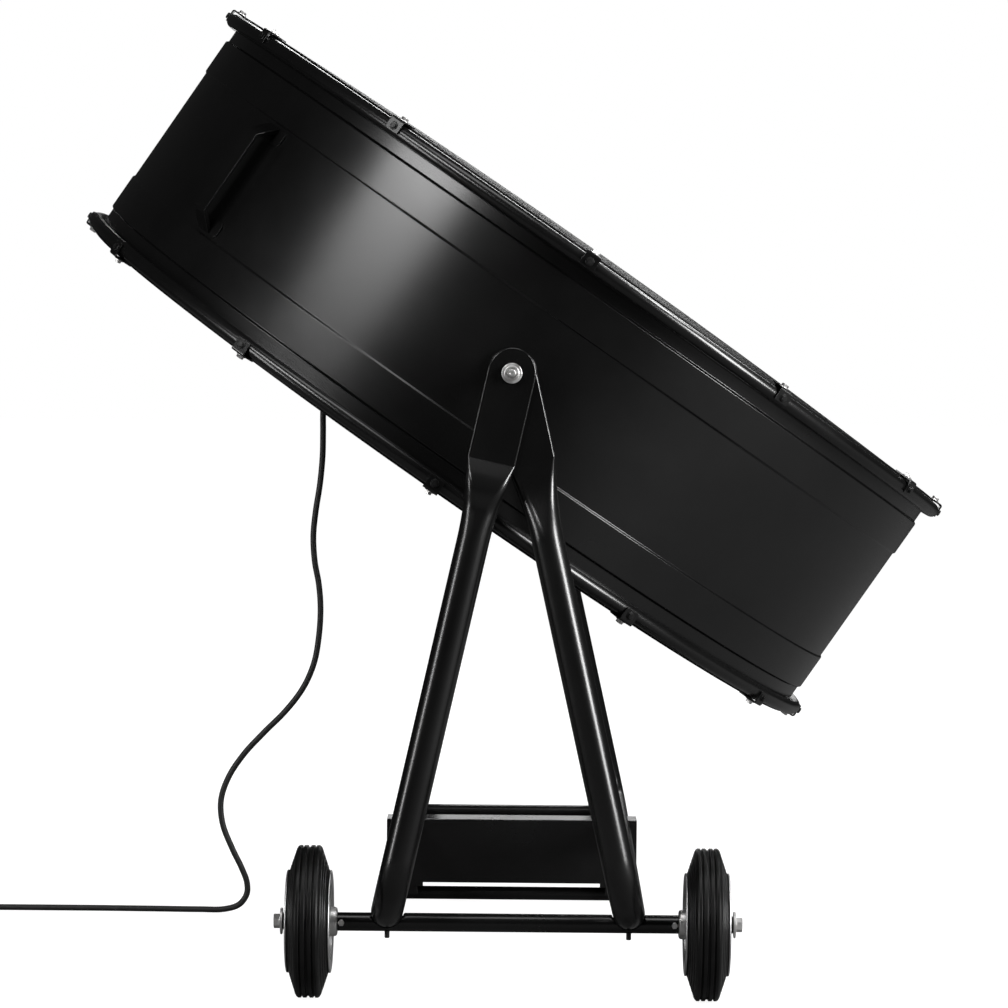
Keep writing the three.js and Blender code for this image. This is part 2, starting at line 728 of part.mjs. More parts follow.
function knob() {
  const seat = SWITCH_REAR - GAP;
  const headLow = KNOB_HEIGHT - KNOB_REACH;
  const edge = 2;
  const outline = turned([
    [0, -KNOB_REACH],
    [KNOB_RADIUS - edge, -KNOB_REACH],
    [KNOB_RADIUS, edge - KNOB_REACH],
    [KNOB_RADIUS, headLow],
    [KNOB_STEM_RADIUS, headLow],
    [KNOB_STEM_RADIUS, seat],
    [0, seat],
  ], 16);
  const pointer = box(KNOB_RADIUS, 3, 2, KNOB_RADIUS / 2, 0, -KNOB_REACH - 0.5);
  return join(outline, pointer).translate(...KNOB_PLACE, 0);
}

function cableGland() {
  const seat = SWITCH_REAR - GAP;
  const nut = 8;
  return turned([
    [0, seat - GLAND_LENGTH],
    [GLAND_TIP_RADIUS, seat - GLAND_LENGTH],
    [GLAND_RADIUS - 1, seat - nut],
    [GLAND_RADIUS, seat - nut],
    [GLAND_RADIUS, seat],
    [0, seat],
  ], 12).translate(...GLAND_PLACE, 0);
}

function smooth(points, steps) {
  return new THREE.CatmullRomCurve3(points, false, 'centripetal').getSpacedPoints(steps);
}

// the lead from the switch to the motor, square to both
function motorLead() {
  const height = (SWITCH_FRONT + SWITCH_REAR) / 2;
  const leave = SWITCH_PLACE[0] + SWITCH_SIZE[0] / 2 + GAP;
  const side = GLAND_PLACE[1];
  const radial = new THREE.Vector3(-Math.SQRT1_2, Math.SQRT1_2, 0);
  const arrive = (distance) => radial.clone().multiplyScalar(MOTOR_RADIUS + GAP + distance).setZ(height);
  return tubeThrough(smooth([
    new THREE.Vector3(leave, side, height),
    new THREE.Vector3(leave + 2 * MOTOR_LEAD, side, height),
    arrive(6 * MOTOR_LEAD),
    arrive(2 * MOTOR_LEAD),
    arrive(0),
  ], 12), MOTOR_LEAD / 2, 6);
}

place(
  drum,
  'switch_box',
  box(...SWITCH_SIZE, ...SWITCH_PLACE, (SWITCH_FRONT + SWITCH_REAR) / 2),
  'plastic',
);
place(drum, 'speed_knob', knob(), 'plastic');
place(drum, 'cable_gland', cableGland(), 'plastic');
place(drum, 'motor_lead', motorLead(), 'cord');

// ---------------------------------------------------------------- stand

const LEG_SLOPE = Math.atan2(LEG_SPREAD, PIVOT_HEIGHT - LEG_RUN_HEIGHT);
const LEG_LENGTH = Math.hypot(LEG_SPREAD, PIVOT_HEIGHT - LEG_RUN_HEIGHT);

function halfThickness(flat) {
  return THREE.MathUtils.lerp(LEG_TUBE / 2, LEG_FLAT_THICK / 2, flat);
}

// Sections along half of a loop, from the rounded top of the near leg to the middle of the
// floor run: the centre, the direction outwards from the loop, and how flat the tube is.
// Where the two legs of a side cross, each keeps to its own side of the plane between them.
function legStations(outermost) {
  const side = outermost ? 1 : -1;
  const flatRadius = LEG_FLAT_WIDTH / 2;
  const at = (down, flat, halfWidth, crossing) => ({
    y: -LEG_PLANE - (crossing ? side * (halfThickness(flat) + GAP / 2) : 0),
    down,
    outY: -1,
    outDown: 0,
    flat,
    halfWidth,
  });
  const topSteps = [0.97, 0.8, 0.5, 0.2];
  const top = topSteps.map((t) => at(-t * flatRadius, 1, flatRadius * Math.sqrt(1 - t * t), true));
  const shoulder = [0, 0.3, 0.65, 1].map((t) => {
    const flat = 0.5 + 0.5 * Math.cos(Math.PI * t);
    const halfWidth = THREE.MathUtils.lerp(LEG_TUBE / 2, flatRadius, flat);
    return at(LEG_FLAT_LENGTH + t * LEG_SHOULDER, flat, halfWidth, t < 0.5);
  });
  const bend = Array.from({ length: LEG_BEND_STEPS + 1 }, (_, i) => {
    const angle = (Math.PI / 2) * (i / LEG_BEND_STEPS);
    return {
      y: -LEG_PLANE + LEG_BEND * (1 - Math.cos(angle)),
      down: LEG_LENGTH - LEG_BEND + LEG_BEND * Math.sin(angle),
      outY: -Math.cos(angle),
      outDown: Math.sin(angle),
      flat: 0,
      halfWidth: LEG_TUBE / 2,
    };
  });
  return [...top, at(0, 1, flatRadius, true), ...shoulder, ...bend];
}

function legLoft(stations, lean, sizeOf) {
  const leg = new THREE.Vector3(lean * Math.sin(LEG_SLOPE), 0, -Math.cos(LEG_SLOPE));
  const across = new THREE.Vector3(Math.cos(LEG_SLOPE), 0, lean * Math.sin(LEG_SLOPE));
  const start = new THREE.Vector3(0, 0, PIVOT_HEIGHT);
  const mirrored = stations.map((s) => ({ ...s, y: -s.y, outY: -s.outY })).reverse();
  return loft([...stations, ...mirrored].map((s) => {
    const centre = start.clone().addScaledVector(leg, s.down).setY(s.y);
    const outward = leg.clone().multiplyScalar(s.outDown).setY(s.outY);
    const { halfWidth, halfThick } = sizeOf(s);
    return Array.from({ length: LEG_SIDES }, (_, j) => {
      const angle = (2 * Math.PI * j) / LEG_SIDES;
      const round = Math.sin(angle);
      const slab = THREE.MathUtils.clamp(2 * round, -1, 1);
      const thick = THREE.MathUtils.lerp(round, slab, s.flat) * halfThick;
      return centre.clone()
        .addScaledVector(across, halfWidth * Math.cos(angle))
        .addScaledVector(outward, thick);
    });
  }));
}

// the part of the loop that is still round is hollow; the frame bolts' holes open it
function legLoop(lean, outermost) {
  const stations = legStations(outermost);
  const solid = legLoft(stations, lean, (s) => ({
    halfWidth: s.halfWidth,
    halfThick: halfThickness(s.flat),
  }));
  const hollow = legLoft(stations.filter((s) => s.flat < 0.1), lean, () => ({
    halfWidth: LEG_TUBE / 2 - LEG_WALL,
    halfThick: LEG_TUBE / 2 - LEG_WALL,
  }));
  const reach = LEG_PLANE + LEG_TUBE;
  const pivotHole = disc(PIVOT_HOLE, -reach, reach, BOLT_SIDES)
    .rotateX(Math.PI / 2)
    .translate(0, 0, PIVOT_HEIGHT);
  const boltHoles = [-1, 1].map((end) => (
    disc(FRAME_BOLT / 2 + GAP, LEG_RUN_HEIGHT - LEG_TUBE, LEG_RUN_HEIGHT + LEG_TUBE, BOLT_SIDES)
      .translate(lean * LEG_SPREAD, end * CROSS_PLACE, 0)
  ));
  return cut(solid, hollow, pivotHole, ...boltHoles);
}

const CROSS_PLACE = LEG_PLANE - LEG_BEND;           // a cross tube lies where each bend ends
const SADDLE_RADIUS = LEG_TUBE / 2 + GAP;
const HUB_INNER = WHEEL_PLACE - HUB_INNER_REACH;
const HUB_OUTER = WHEEL_PLACE + HUB_OUTER_REACH;
const AXLE_END = HUB_OUTER + AXLE_STUB;

// a cross tube is pressed down where each loop lies on it
function crossTube(halfLength, across) {
  const tube = disc(CROSS_TUBE / 2, -halfLength, halfLength, 16).rotateY(Math.PI / 2);
  const saddles = [-1, 1].map((lean) => (
    disc(SADDLE_RADIUS, -CROSS_TUBE, CROSS_TUBE, 24)
      .rotateX(Math.PI / 2)
      .translate(lean * LEG_SPREAD, 0, LEG_RUN_HEIGHT - CROSS_HEIGHT)
  ));
  const holes = [-1, 1].map((lean) => (
    disc(FRAME_BOLT / 2 + GAP, -CROSS_TUBE, CROSS_TUBE, BOLT_SIDES).translate(lean * LEG_SPREAD, 0, 0)
  ));
  return cut(tube, ...saddles, ...holes).translate(0, across, CROSS_HEIGHT);
}

function frameBolt(lean, across) {
  const tail = CROSS_HEIGHT - CROSS_TUBE / 2 - FRAME_BOLT_TAIL;
  const bendStart = FRAME_BOLT_HEAD_RADIUS * Math.tan(Math.PI / 4 / LEG_BEND_STEPS);
  const seat = LEG_RUN_HEIGHT + LEG_TUBE / 2 + bendStart + GAP;
  return turned([
    [0, tail],
    [FRAME_BOLT / 2, tail],
    [FRAME_BOLT / 2, seat],
    [FRAME_BOLT_HEAD_RADIUS, seat],
    [FRAME_BOLT_HEAD_RADIUS, seat + FRAME_BOLT_HEAD],
    [0, seat + FRAME_BOLT_HEAD],
  ], BOLT_SIDES).translate(lean * LEG_SPREAD, across, 0);
}

place(fan, 'axle_tube', crossTube(AXLE_END, -CROSS_PLACE), 'black');
place(fan, 'far_crossbar', crossTube(FAR_CROSSBAR_LENGTH / 2, CROSS_PLACE), 'black');
for (const [name, lean] of [['left', -1], ['right', 1]]) {
  place(fan, `leg_loop_${name}`, legLoop(lean, lean < 0), 'black');
  place(fan, `frame_bolt_near_${name}`, frameBolt(lean, -CROSS_PLACE), 'black');
  place(fan, `frame_bolt_far_${name}`, frameBolt(lean, CROSS_PLACE), 'black');
}

// ---------------------------------------------------------------- foot

const RAIL_HEIGHT = FOOT_RAIL_CLEAR + FOOT_RAIL / 2;

function footPanel() {
  const half = FOOT_DEPTH / 2;
  const inner = half - FOOT_SHEET;
  const outline = new THREE.Shape([
    [-half, FOOT_BOTTOM],
    [-inner, FOOT_BOTTOM],
    [-inner, FOOT_TOP - FOOT_SHEET],
    [inner, FOOT_TOP - FOOT_SHEET],
    [inner, FOOT_BOTTOM],
    [half, FOOT_BOTTOM],
    [half, FOOT_TOP],
    [-half, FOOT_TOP],
  ].map(([y, z]) => new THREE.Vector2(y, z)));
  const channel = new THREE.ExtrudeGeometry(outline, { depth: FOOT_LENGTH, bevelEnabled: false })
    .translate(0, 0, -FOOT_LENGTH / 2)
    .rotateX(Math.PI / 2)
    .rotateZ(Math.PI / 2)
    .translate(0, FOOT_PLACE, 0);
  const notches = [-1, 1].map((lean) => (
    disc(SADDLE_RADIUS, -FOOT_DEPTH, FOOT_DEPTH, 24)
      .rotateX(Math.PI / 2)
      .translate(lean * LEG_SPREAD, FOOT_PLACE, LEG_RUN_HEIGHT)
  ));
  return cut(channel, ...notches);
}

function railBar(radius, halfLength) {
  return disc(radius, -halfLength, halfLength, 16)
    .rotateY(Math.PI / 2)
    .translate(0, FOOT_PLACE, RAIL_HEIGHT);
}

function footBracket(lean) {
  const block = box(
    BRACKET_THICK,
    FOOT_DEPTH - 2 * FOOT_SHEET - 2 * GAP,
    BRACKET_HEIGHT,
    lean * (FOOT_RAIL_LENGTH / 2 - BRACKET_INSET),
    FOOT_PLACE,
    RAIL_HEIGHT + BRACKET_HEIGHT / 2,
  );
  return cut(block, railBar(FOOT_RAIL / 2 + GAP, FOOT_RAIL_LENGTH));
}

function footPad(lean) {
  const middle = lean * (FOOT_RAIL_LENGTH / 2 - PAD_LENGTH / 2 + 1);
  const block = box(PAD_LENGTH, PAD_WIDTH, PAD_HEIGHT, middle, FOOT_PLACE, PAD_HEIGHT / 2);
  return cut(block, railBar(FOOT_RAIL / 2 + GAP, FOOT_RAIL_LENGTH));
}

place(fan, 'foot_panel', footPanel(), 'black');
place(fan, 'foot_rail', railBar(FOOT_RAIL / 2, FOOT_RAIL_LENGTH / 2), 'black');
for (const [name, lean] of [['left', -1], ['right', 1]]) {
  place(fan, `foot_bracket_${name}`, footBracket(lean), 'black');
  place(fan, `foot_pad_${name}`, footPad(lean), 'rubber');
}

// ---------------------------------------------------------------- wheels, made along +X

const AXLE_BORE = CROSS_TUBE / 2 + GAP;

// a turned piece with its axis along X, at a place on the axle; profile is [radius, x]
function onAxle(profile, sides, lean, closed) {
  const piece = closed ? ringOfRevolution(profile, sides) : turned(profile, sides);
  return piece
    .rotateY(Math.PI / 2)
    .rotateX(-Math.PI / 2)
    .rotateZ(lean < 0 ? Math.PI : 0)
    .translate(0, -CROSS_PLACE, CROSS_HEIGHT);
}

function tyre(lean) {
  const wide = TYRE_WIDTH / 2;
  const shoulder = TYRE_SHOULDER_WIDTH / 2;
  const crown = TYRE_CROWN_WIDTH / 2;
  const edge = 2;
  const half = [
    [TYRE_BORE_RADIUS, wide - edge],
    [TYRE_BORE_RADIUS + edge, wide],
    [TYRE_SIDE_RADIUS, wide],
    [TYRE_SIDE_RADIUS + edge, shoulder],
    [WHEEL_RADIUS - 2 * edge, crown + edge / 2],
    [WHEEL_RADIUS, crown - edge / 2],
  ];
  const profile = [...half.map(([r, x]) => [r, -x]), ...half.reverse()];
  return onAxle(profile.map(([r, x]) => [r, x + WHEEL_PLACE]), WHEEL_SIDES, lean, true);
}

// a pressed wheel: a barrel under the tyre, a flange on each side of it and a disc
function rim(lean) {
  const barrelOutside = TYRE_BORE_RADIUS * Math.cos(Math.PI / WHEEL_SIDES) - GAP;
  const barrelInside = barrelOutside - RIM_BARREL_THICK;
  const flangeLow = TYRE_WIDTH / 2 + GAP;
  const flangeHigh = flangeLow + RIM_FLANGE_THICK;
  const halfDisc = RIM_DISC_THICK / 2;
  const bore = HUB_RADIUS + GAP;
  const profile = [
    [bore, -halfDisc],
    [barrelInside, -halfDisc],
    [barrelInside, -flangeHigh],
    [RIM_FLANGE_RADIUS, -flangeHigh],
    [RIM_FLANGE_RADIUS, -flangeLow],
    [barrelOutside, -flangeLow],
    [barrelOutside, flangeLow],
    [RIM_FLANGE_RADIUS, flangeLow],
    [RIM_FLANGE_RADIUS, flangeHigh],
    [barrelInside, flangeHigh],
    [barrelInside, halfDisc],
    [bore, halfDisc],
  ];
  return onAxle(profile.map(([r, x]) => [r, x + WHEEL_PLACE]), RIM_SIDES, lean, true);
}

function wheelHub(lean) {
  const edge = 2;
  return onAxle([
    [AXLE_BORE, HUB_INNER],
    [HUB_RADIUS - edge, HUB_INNER],
    [HUB_RADIUS, HUB_INNER + edge],
    [HUB_RADIUS, HUB_OUTER - edge],
    [HUB_RADIUS - edge, HUB_OUTER],
    [AXLE_BORE, HUB_OUTER],
  ], RIM_SIDES, lean, true);
}

function axleEndWasher(lean) {
  const low = AXLE_END + GAP;
  return onAxle([
    [0, low],
    [END_WASHER_RADIUS, low],
    [END_WASHER_RADIUS, low + END_WASHER_THICK],
    [0, low + END_WASHER_THICK],
  ], RIM_SIDES, lean, false);
}

function axleEndBolt(lean) {
  const low = AXLE_END + GAP + END_WASHER_THICK + GAP;
  const corner = END_BOLT_FLATS / 2 / Math.cos(Math.PI / 6);
  return onAxle([
    [0, low],
    [corner, low],
    [corner, low + END_BOLT_HEAD],
    [0, low + END_BOLT_HEAD],
  ], 6, lean, false);
}

// the bolt across the axle that keeps a wheel from sliding inwards
function axleLockBolt(lean) {
  const along = lean * (HUB_INNER - GAP - LOCK_BOLT_RADIUS - 1);
  const seat = CROSS_TUBE / 2 + GAP;
  return disc(LOCK_BOLT_RADIUS, seat, seat + LOCK_BOLT_HEAD, 6)
    .rotateX(Math.PI / 2)
    .translate(along, -CROSS_PLACE, CROSS_HEIGHT);
}

for (const [name, lean] of [['left', -1], ['right', 1]]) {
  place(fan, `tyre_${name}`, tyre(lean), 'rubber');
  place(fan, `rim_${name}`, rim(lean), 'steel');
  place(fan, `hub_${name}`, wheelHub(lean), 'zinc');
  place(fan, `axle_end_washer_${name}`, axleEndWasher(lean), 'zinc');
  place(fan, `axle_end_bolt_${name}`, axleEndBolt(lean), 'zinc');
  place(fan, `axle_lock_bolt_${name}`, axleLockBolt(lean), 'zinc');
}

// ---------------------------------------------------------------- pivots, made along +Z

const PLATES_INSIDE = LEG_PLANE - LEG_FLAT_THICK - GAP / 2;
const PLATES_OUTSIDE = LEG_PLANE + LEG_FLAT_THICK + GAP / 2;
const NUT_SEAT = PLATES_OUTSIDE + GAP;
const NUT_TOP = NUT_SEAT + NUT_HEIGHT;

function onPivot(piece, side) {
  return piece.rotateX((side * -Math.PI) / 2).translate(0, 0, PIVOT_HEIGHT);
}

function pivotSpacer() {
  const low = DRUM_RADIUS + GAP;
  const high = PLATES_INSIDE - GAP;
  return ringOfRevolution([
    [PIVOT_HOLE, low],
    [SPACER_FLANGE_RADIUS, low],
    [SPACER_FLANGE_RADIUS, low + SPACER_FLANGE],
    [SPACER_RADIUS, low + 2 * SPACER_FLANGE],
    [SPACER_RADIUS, high],
    [PIVOT_HOLE, high],
  ], RIM_SIDES);
}

function pivotBolt() {
  const seat = (DRUM_RADIUS - DRUM_WALL) * Math.cos(Math.PI / DRUM_SIDES) - GAP;
  const shank = PIVOT_BOLT / 2;
  return turned([
    [0, seat - PIVOT_HEAD],
    [PIVOT_HEAD_RADIUS, seat - PIVOT_HEAD],
    [PIVOT_HEAD_RADIUS, seat],
    [shank, seat],
    [shank, NUT_TOP + PIVOT_BOLT_TAIL],
    [0, NUT_TOP + PIVOT_BOLT_TAIL],
  ], BOLT_SIDES);
}

function pivotNut() {
  return ringOfRevolution([
    [PIVOT_HOLE, NUT_SEAT],
    [NUT_FLANGE_RADIUS, NUT_SEAT],
    [NUT_FLANGE_RADIUS, NUT_SEAT + NUT_FLANGE],
    [NUT_RADIUS, NUT_SEAT + NUT_FLANGE],
    [NUT_RADIUS, NUT_TOP],
    [PIVOT_HOLE, NUT_TOP],
  ], BOLT_SIDES);
}

for (const [name, side] of [['near', -1], ['far', 1]]) {
  place(fan, `pivot_spacer_${name}`, onPivot(pivotSpacer(), side), 'black');
  place(fan, `pivot_bolt_${name}`, onPivot(pivotBolt(), side), 'zinc');
  place(fan, `pivot_nut_${name}`, onPivot(pivotNut(), side), 'zinc');
}

// ---------------------------------------------------------------- power cord, coil and plug

const LOW_LAYER = COIL_LIFT + CORD / 2;
const HIGH_LAYER = LOW_LAYER + COIL_PITCH;
const COIL_OUTER = COIL_RADIUS + (COIL_PITCH * COIL_LOW_TURNS) / 2;

// The coil winds inwards on the floor, climbs a layer in the half turn where it reverses,
// and winds outwards again on top. turns counts from its start.
function coilPoint(turns) {
  const reverse = COIL_LOW_TURNS + 0.25;
  const inward = Math.min(turns, reverse) - Math.max(turns - reverse, 0);
  const radius = COIL_OUTER - COIL_PITCH * inward;
  const climb = THREE.MathUtils.clamp((turns - COIL_LOW_TURNS) * 2, 0, 1);
  const angle = Math.PI / 2 + 2 * Math.PI * turns;
  return new THREE.Vector3(
    COIL_PLACE[0] + radius * Math.cos(angle),
    COIL_PLACE[1] + radius * Math.sin(angle),
    THREE.MathUtils.lerp(LOW_LAYER, HIGH_LAYER, climb),
  );
}

function coilCentres() {
  const turns = COIL_LOW_TURNS + 0.5 + COIL_HIGH_TURNS;
  const steps = Math.round(turns * COIL_STEPS);
  const wound = Array.from({ length: steps + 1 }, (_, i) => coilPoint((i * turns) / steps));
  const first = wound[0].clone().add(new THREE.Vector3(CORD, 0, 0));
  const last = wound[steps].clone().add(new THREE.Vector3(0, -CORD, 0));
  return [first, ...wound, last];
}

// least distance between the tube's surfaces where it passes itself
function leastGap(centres) {
  const near = COIL_STEPS / 4;
  let least = Infinity;
  centres.forEach((a, i) => {
    centres.slice(i + near).forEach((b, j) => {
      const c = centres[i + near + j + 1] ?? b;
      const along = new THREE.Line3(b, c);
      const closest = along.closestPointToPoint(a, true, new THREE.Vector3());
      least = Math.min(least, closest.distanceTo(a) - CORD);
    });
  });
  return least;
}

const coil = coilCentres();
console.log(`least gap of the coil to itself: ${leastGap(coil).toFixed(2)} mm`);

function cordTie() {
  const inside = COIL_OUTER - COIL_PITCH * (COIL_LOW_TURNS + 0.25) - CORD / 2 - GAP;
  const outside = COIL_OUTER + CORD / 2 + GAP;
  const low = COIL_LIFT - GAP;
  const high = HIGH_LAYER + CORD / 2 + GAP;
  const rectangle = (grow) => [
    [inside - grow, low - grow],
    [outside + grow, low - grow],
    [outside + grow, high + grow],
    [inside - grow, high + grow],
  ].map(([r, z]) => new THREE.Vector2(r, z));
  const outline = new THREE.Shape(rectangle(TIE_THICK));
  outline.holes.push(new THREE.Path(rectangle(0)));
  return new THREE.ExtrudeGeometry(outline, { depth: TIE_WIDTH, bevelEnabled: false })
    .translate(0, 0, -TIE_WIDTH / 2)
    .rotateX(Math.PI / 2)
    .translate(...COIL_PLACE, 0);
}

// the plug lies beside the coil; it is made along -Y from where the lead enters it
function plug() {
  const half = PLUG_WIDTH / 2;
  const section = (along, radius, squareness) => Array.from({ length: 12 }, (_, j) => {
    const angle = (2 * Math.PI * (j + 0.5)) / 12;
    const round = new THREE.Vector2(Math.cos(angle), Math.sin(angle));
    const stretch = 1 / Math.max(Math.abs(round.x), Math.abs(round.y));
    round.multiplyScalar(radius * THREE.MathUtils.lerp(1, Math.min(stretch, 1.2), squareness));
    return new THREE.Vector3(
      THREE.MathUtils.clamp(round.x, -half, half),
      -along,
      THREE.MathUtils.clamp(round.y, -half, half),
    );
  });
  const end = PLUG_RELIEF + PLUG_LENGTH;
  const body = loft([
    section(0, CORD / 2 + 1, 0),
    section(PLUG_RELIEF, CORD / 2 + 2.4, 0),
    section(PLUG_RELIEF + 6, half - 1.5, 1),
    section(end - 2, half, 1),
    section(end, half - 1.5, 1),
  ]);
  const pins = [[-PIN_SPACING, -PIN_SPACING / 2], [PIN_SPACING, -PIN_SPACING / 2], [0, PIN_SPACING / 2]];
  const bars = pins.map(([x, z]) => bar(
    new THREE.Vector3(x, -end + 1, z),
    new THREE.Vector3(x, -end - PIN_LENGTH, z),
    PIN_RADIUS,
    8,
  ));
  return join(body, ...bars);
}

const coilEnd = coil[coil.length - 1];
const leadStart = coilEnd.clone().add(new THREE.Vector3(0, -GAP, 0));
const leadEnd = leadStart.clone().add(new THREE.Vector3(0, -PLUG_LEAD, 0));
const route = CORD_ROUTE.map((point) => new THREE.Vector3(...point));

place(fan, 'power_cord', tubeThrough(smooth(route, CORD_STEPS), CORD / 2, CORD_SIDES), 'cord');
place(fan, 'cord_coil', tubeThrough(coil, CORD / 2, COIL_TUBE_SIDES), 'cord');
place(fan, 'cord_tie', cordTie(), 'plastic');
place(fan, 'plug_lead', tubeThrough([leadStart, leadEnd], CORD / 2, CORD_SIDES), 'cord');
place(fan, 'plug', plug().translate(leadEnd.x, leadEnd.y - GAP, leadEnd.z), 'plastic');

export default fan;
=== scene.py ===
# A drum fan on a wheeled tube stand: its looks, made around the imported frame.
# Sizes are millimetres until a piece is made, and metres from then on. X is to the right, Y away
# from the wheels and Z up. What belongs to the drum is made upright, with the drum's axis as Z
# and X running down its face, and is then tilted into place.
import math

import bmesh
import bpy
from mathutils import Matrix, Vector


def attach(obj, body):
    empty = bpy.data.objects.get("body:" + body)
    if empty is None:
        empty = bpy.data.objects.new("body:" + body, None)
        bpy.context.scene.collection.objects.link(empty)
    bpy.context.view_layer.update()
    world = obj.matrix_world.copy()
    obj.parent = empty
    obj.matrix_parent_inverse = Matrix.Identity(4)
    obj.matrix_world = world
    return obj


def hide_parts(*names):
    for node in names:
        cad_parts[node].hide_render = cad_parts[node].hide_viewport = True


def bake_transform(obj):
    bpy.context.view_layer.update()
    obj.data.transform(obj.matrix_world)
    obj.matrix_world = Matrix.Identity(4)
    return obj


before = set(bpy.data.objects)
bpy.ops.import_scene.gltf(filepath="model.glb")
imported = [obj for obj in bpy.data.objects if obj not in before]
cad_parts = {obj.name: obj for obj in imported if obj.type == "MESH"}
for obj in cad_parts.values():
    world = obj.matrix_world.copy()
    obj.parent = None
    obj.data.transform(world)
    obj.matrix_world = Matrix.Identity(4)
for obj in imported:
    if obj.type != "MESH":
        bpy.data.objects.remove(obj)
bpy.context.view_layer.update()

MM = 0.001
IN_PLACE = Matrix.Identity(4)

# ---------------------------------------------------------------- driving sizes

PIVOT_HEIGHT = 742
AXIS_ELEVATION = 55.5
DRUM_RADIUS = 542
DRUM_WALL = 2
BAND_PROUD = 2
NECK_DROP = 1
BAND_INNER = 80
BAND_OUTER = 128
BAND_STEP = 2.5
RING_PLACE = 155
RING_TUBE = 18
TOUCH = 0.3                     # gap between faces that touch
NECK_RADIUS = DRUM_RADIUS - NECK_DROP
RING_RADIUS = NECK_RADIUS + TOUCH + RING_TUBE / 2

LEG_PLANE = 592
LEG_TUBE = 38
LEG_SPREAD = 143
LEG_RUN_HEIGHT = 103.5
LEG_BEND = 75
CROSS_TUBE = 22
CROSS_HEIGHT = 90
CROSS_PLACE = LEG_PLANE - LEG_BEND
WHEEL_PLACE = 235.2
FOOT_PLACE = 267

# ---------------------------------------------------------------- camera

CAMERA_PLACE = (27.38, -5336.69, 835.26)
CAMERA_TURN = 0.42708
CAMERA_PITCH = 2.95501
CAMERA_ROLL = -0.45427
FOCAL_PIXELS = 4099.15
IMAGE_PIXELS = 1008
SENSOR = 36


def turned_about(axis, degrees):
    return Matrix.Rotation(math.radians(degrees), 4, axis)


def add_camera():
    camera = bpy.data.cameras.new("camera")
    camera.sensor_fit = "HORIZONTAL"
    camera.sensor_width = SENSOR
    camera.lens = FOCAL_PIXELS / IMAGE_PIXELS * SENSOR
    camera.clip_end = 100
    stand = bpy.data.objects.new("camera", camera)
    bpy.context.scene.collection.objects.link(stand)
    pitch = turned_about("X", 90 - CAMERA_PITCH)
    aim = turned_about("Z", CAMERA_TURN) @ pitch @ turned_about("Z", -CAMERA_ROLL)
    stand.matrix_world = Matrix.Translation(Vector(CAMERA_PLACE) * MM) @ aim
    bpy.context.scene.camera = stand


add_camera()

# ---------------------------------------------------------------- shapes: (points, faces)

DRUM = Matrix.Translation((0, 0, PIVOT_HEIGHT)) @ turned_about("Y", 90 - AXIS_ELEVATION)


def joined(*shapes):
    points, faces = [], []
    for more_points, more_faces in shapes:
        start = len(points)
        points += more_points
        faces += [[start + i for i in face] for face in more_faces]
    return points, faces


def moved(shape, matrix):
    return [matrix @ Vector(p) for p in shape[0]], shape[1]


def shifted(shape, x=0.0, y=0.0, z=0.0):
    return moved(shape, Matrix.Translation((x, y, z)))


def loft(rings, closed=False):
    """A skin over rings of points that all have the same count."""
    count = len(rings[0])
    spans = len(rings) if closed else len(rings) - 1
    faces = []
    for i in range(spans):
        here, there = i * count, (i + 1) % len(rings) * count
        for j in range(count):
            k = (j + 1) % count
            faces.append([here + j, here + k, there + k, there + j])
    if not closed:
        faces.append(list(range(count)))
        faces.append(list(range((len(rings) - 1) * count, len(rings) * count)))
    return [Vector(p) for ring in rings for p in ring], faces


def lathe(profile, sides, closed=False):
    """A solid of revolution about Z from (radius, height) pairs; a radius of 0 is a pole."""
    points, rows = [], []
    for radius, height in profile:
        if radius < 1e-6:
            rows.append([len(points)] * sides)
            points.append(Vector((0, 0, height)))
            continue
        rows.append([len(points) + j for j in range(sides)])
        for j in range(sides):
            angle = 2 * math.pi * j / sides
            points.append(Vector((radius * math.cos(angle), radius * math.sin(angle), height)))
    faces = []
    pairs = list(zip(rows, rows[1:])) + ([(rows[-1], rows[0])] if closed else [])
    for low, high in pairs:
        for j in range(sides):
            k = (j + 1) % sides
            corners = [low[j], low[k], high[k], high[j]]
            face = [c for i, c in enumerate(corners) if c != corners[i - 1]]
            if len(face) > 2:
                faces.append(face)
    return points, faces


def circle(radius, sides, start=0.0):
    angles = [start + 2 * math.pi * j / sides for j in range(sides)]
    return [(radius * math.cos(a), radius * math.sin(a)) for a in angles]


def tube(path, radius, sides):
    """A round tube through points."""
    rings, side = [], None
    for i, centre in enumerate(path):
        before, after = path[max(i - 1, 0)], path[min(i + 1, len(path) - 1)]
        along = (after - before).normalized()
        if side is None:
            side = along.orthogonal().normalized()
        side = (side - along * side.dot(along)).normalized()
        up = along.cross(side)
        rings.append([centre + side * x + up * y for x, y in circle(radius, sides)])
    return loft(rings)


def prism(outline, low, high):
    """An outline in X and Y, pushed up along Z."""
    return loft([[Vector((x, y, z)) for x, y in outline] for z in (low, high)])


def block(x, y, z):
    """A box from (low, high) pairs."""
    return prism([(x[0], y[0]), (x[1], y[0]), (x[1], y[1]), (x[0], y[1])], *z)


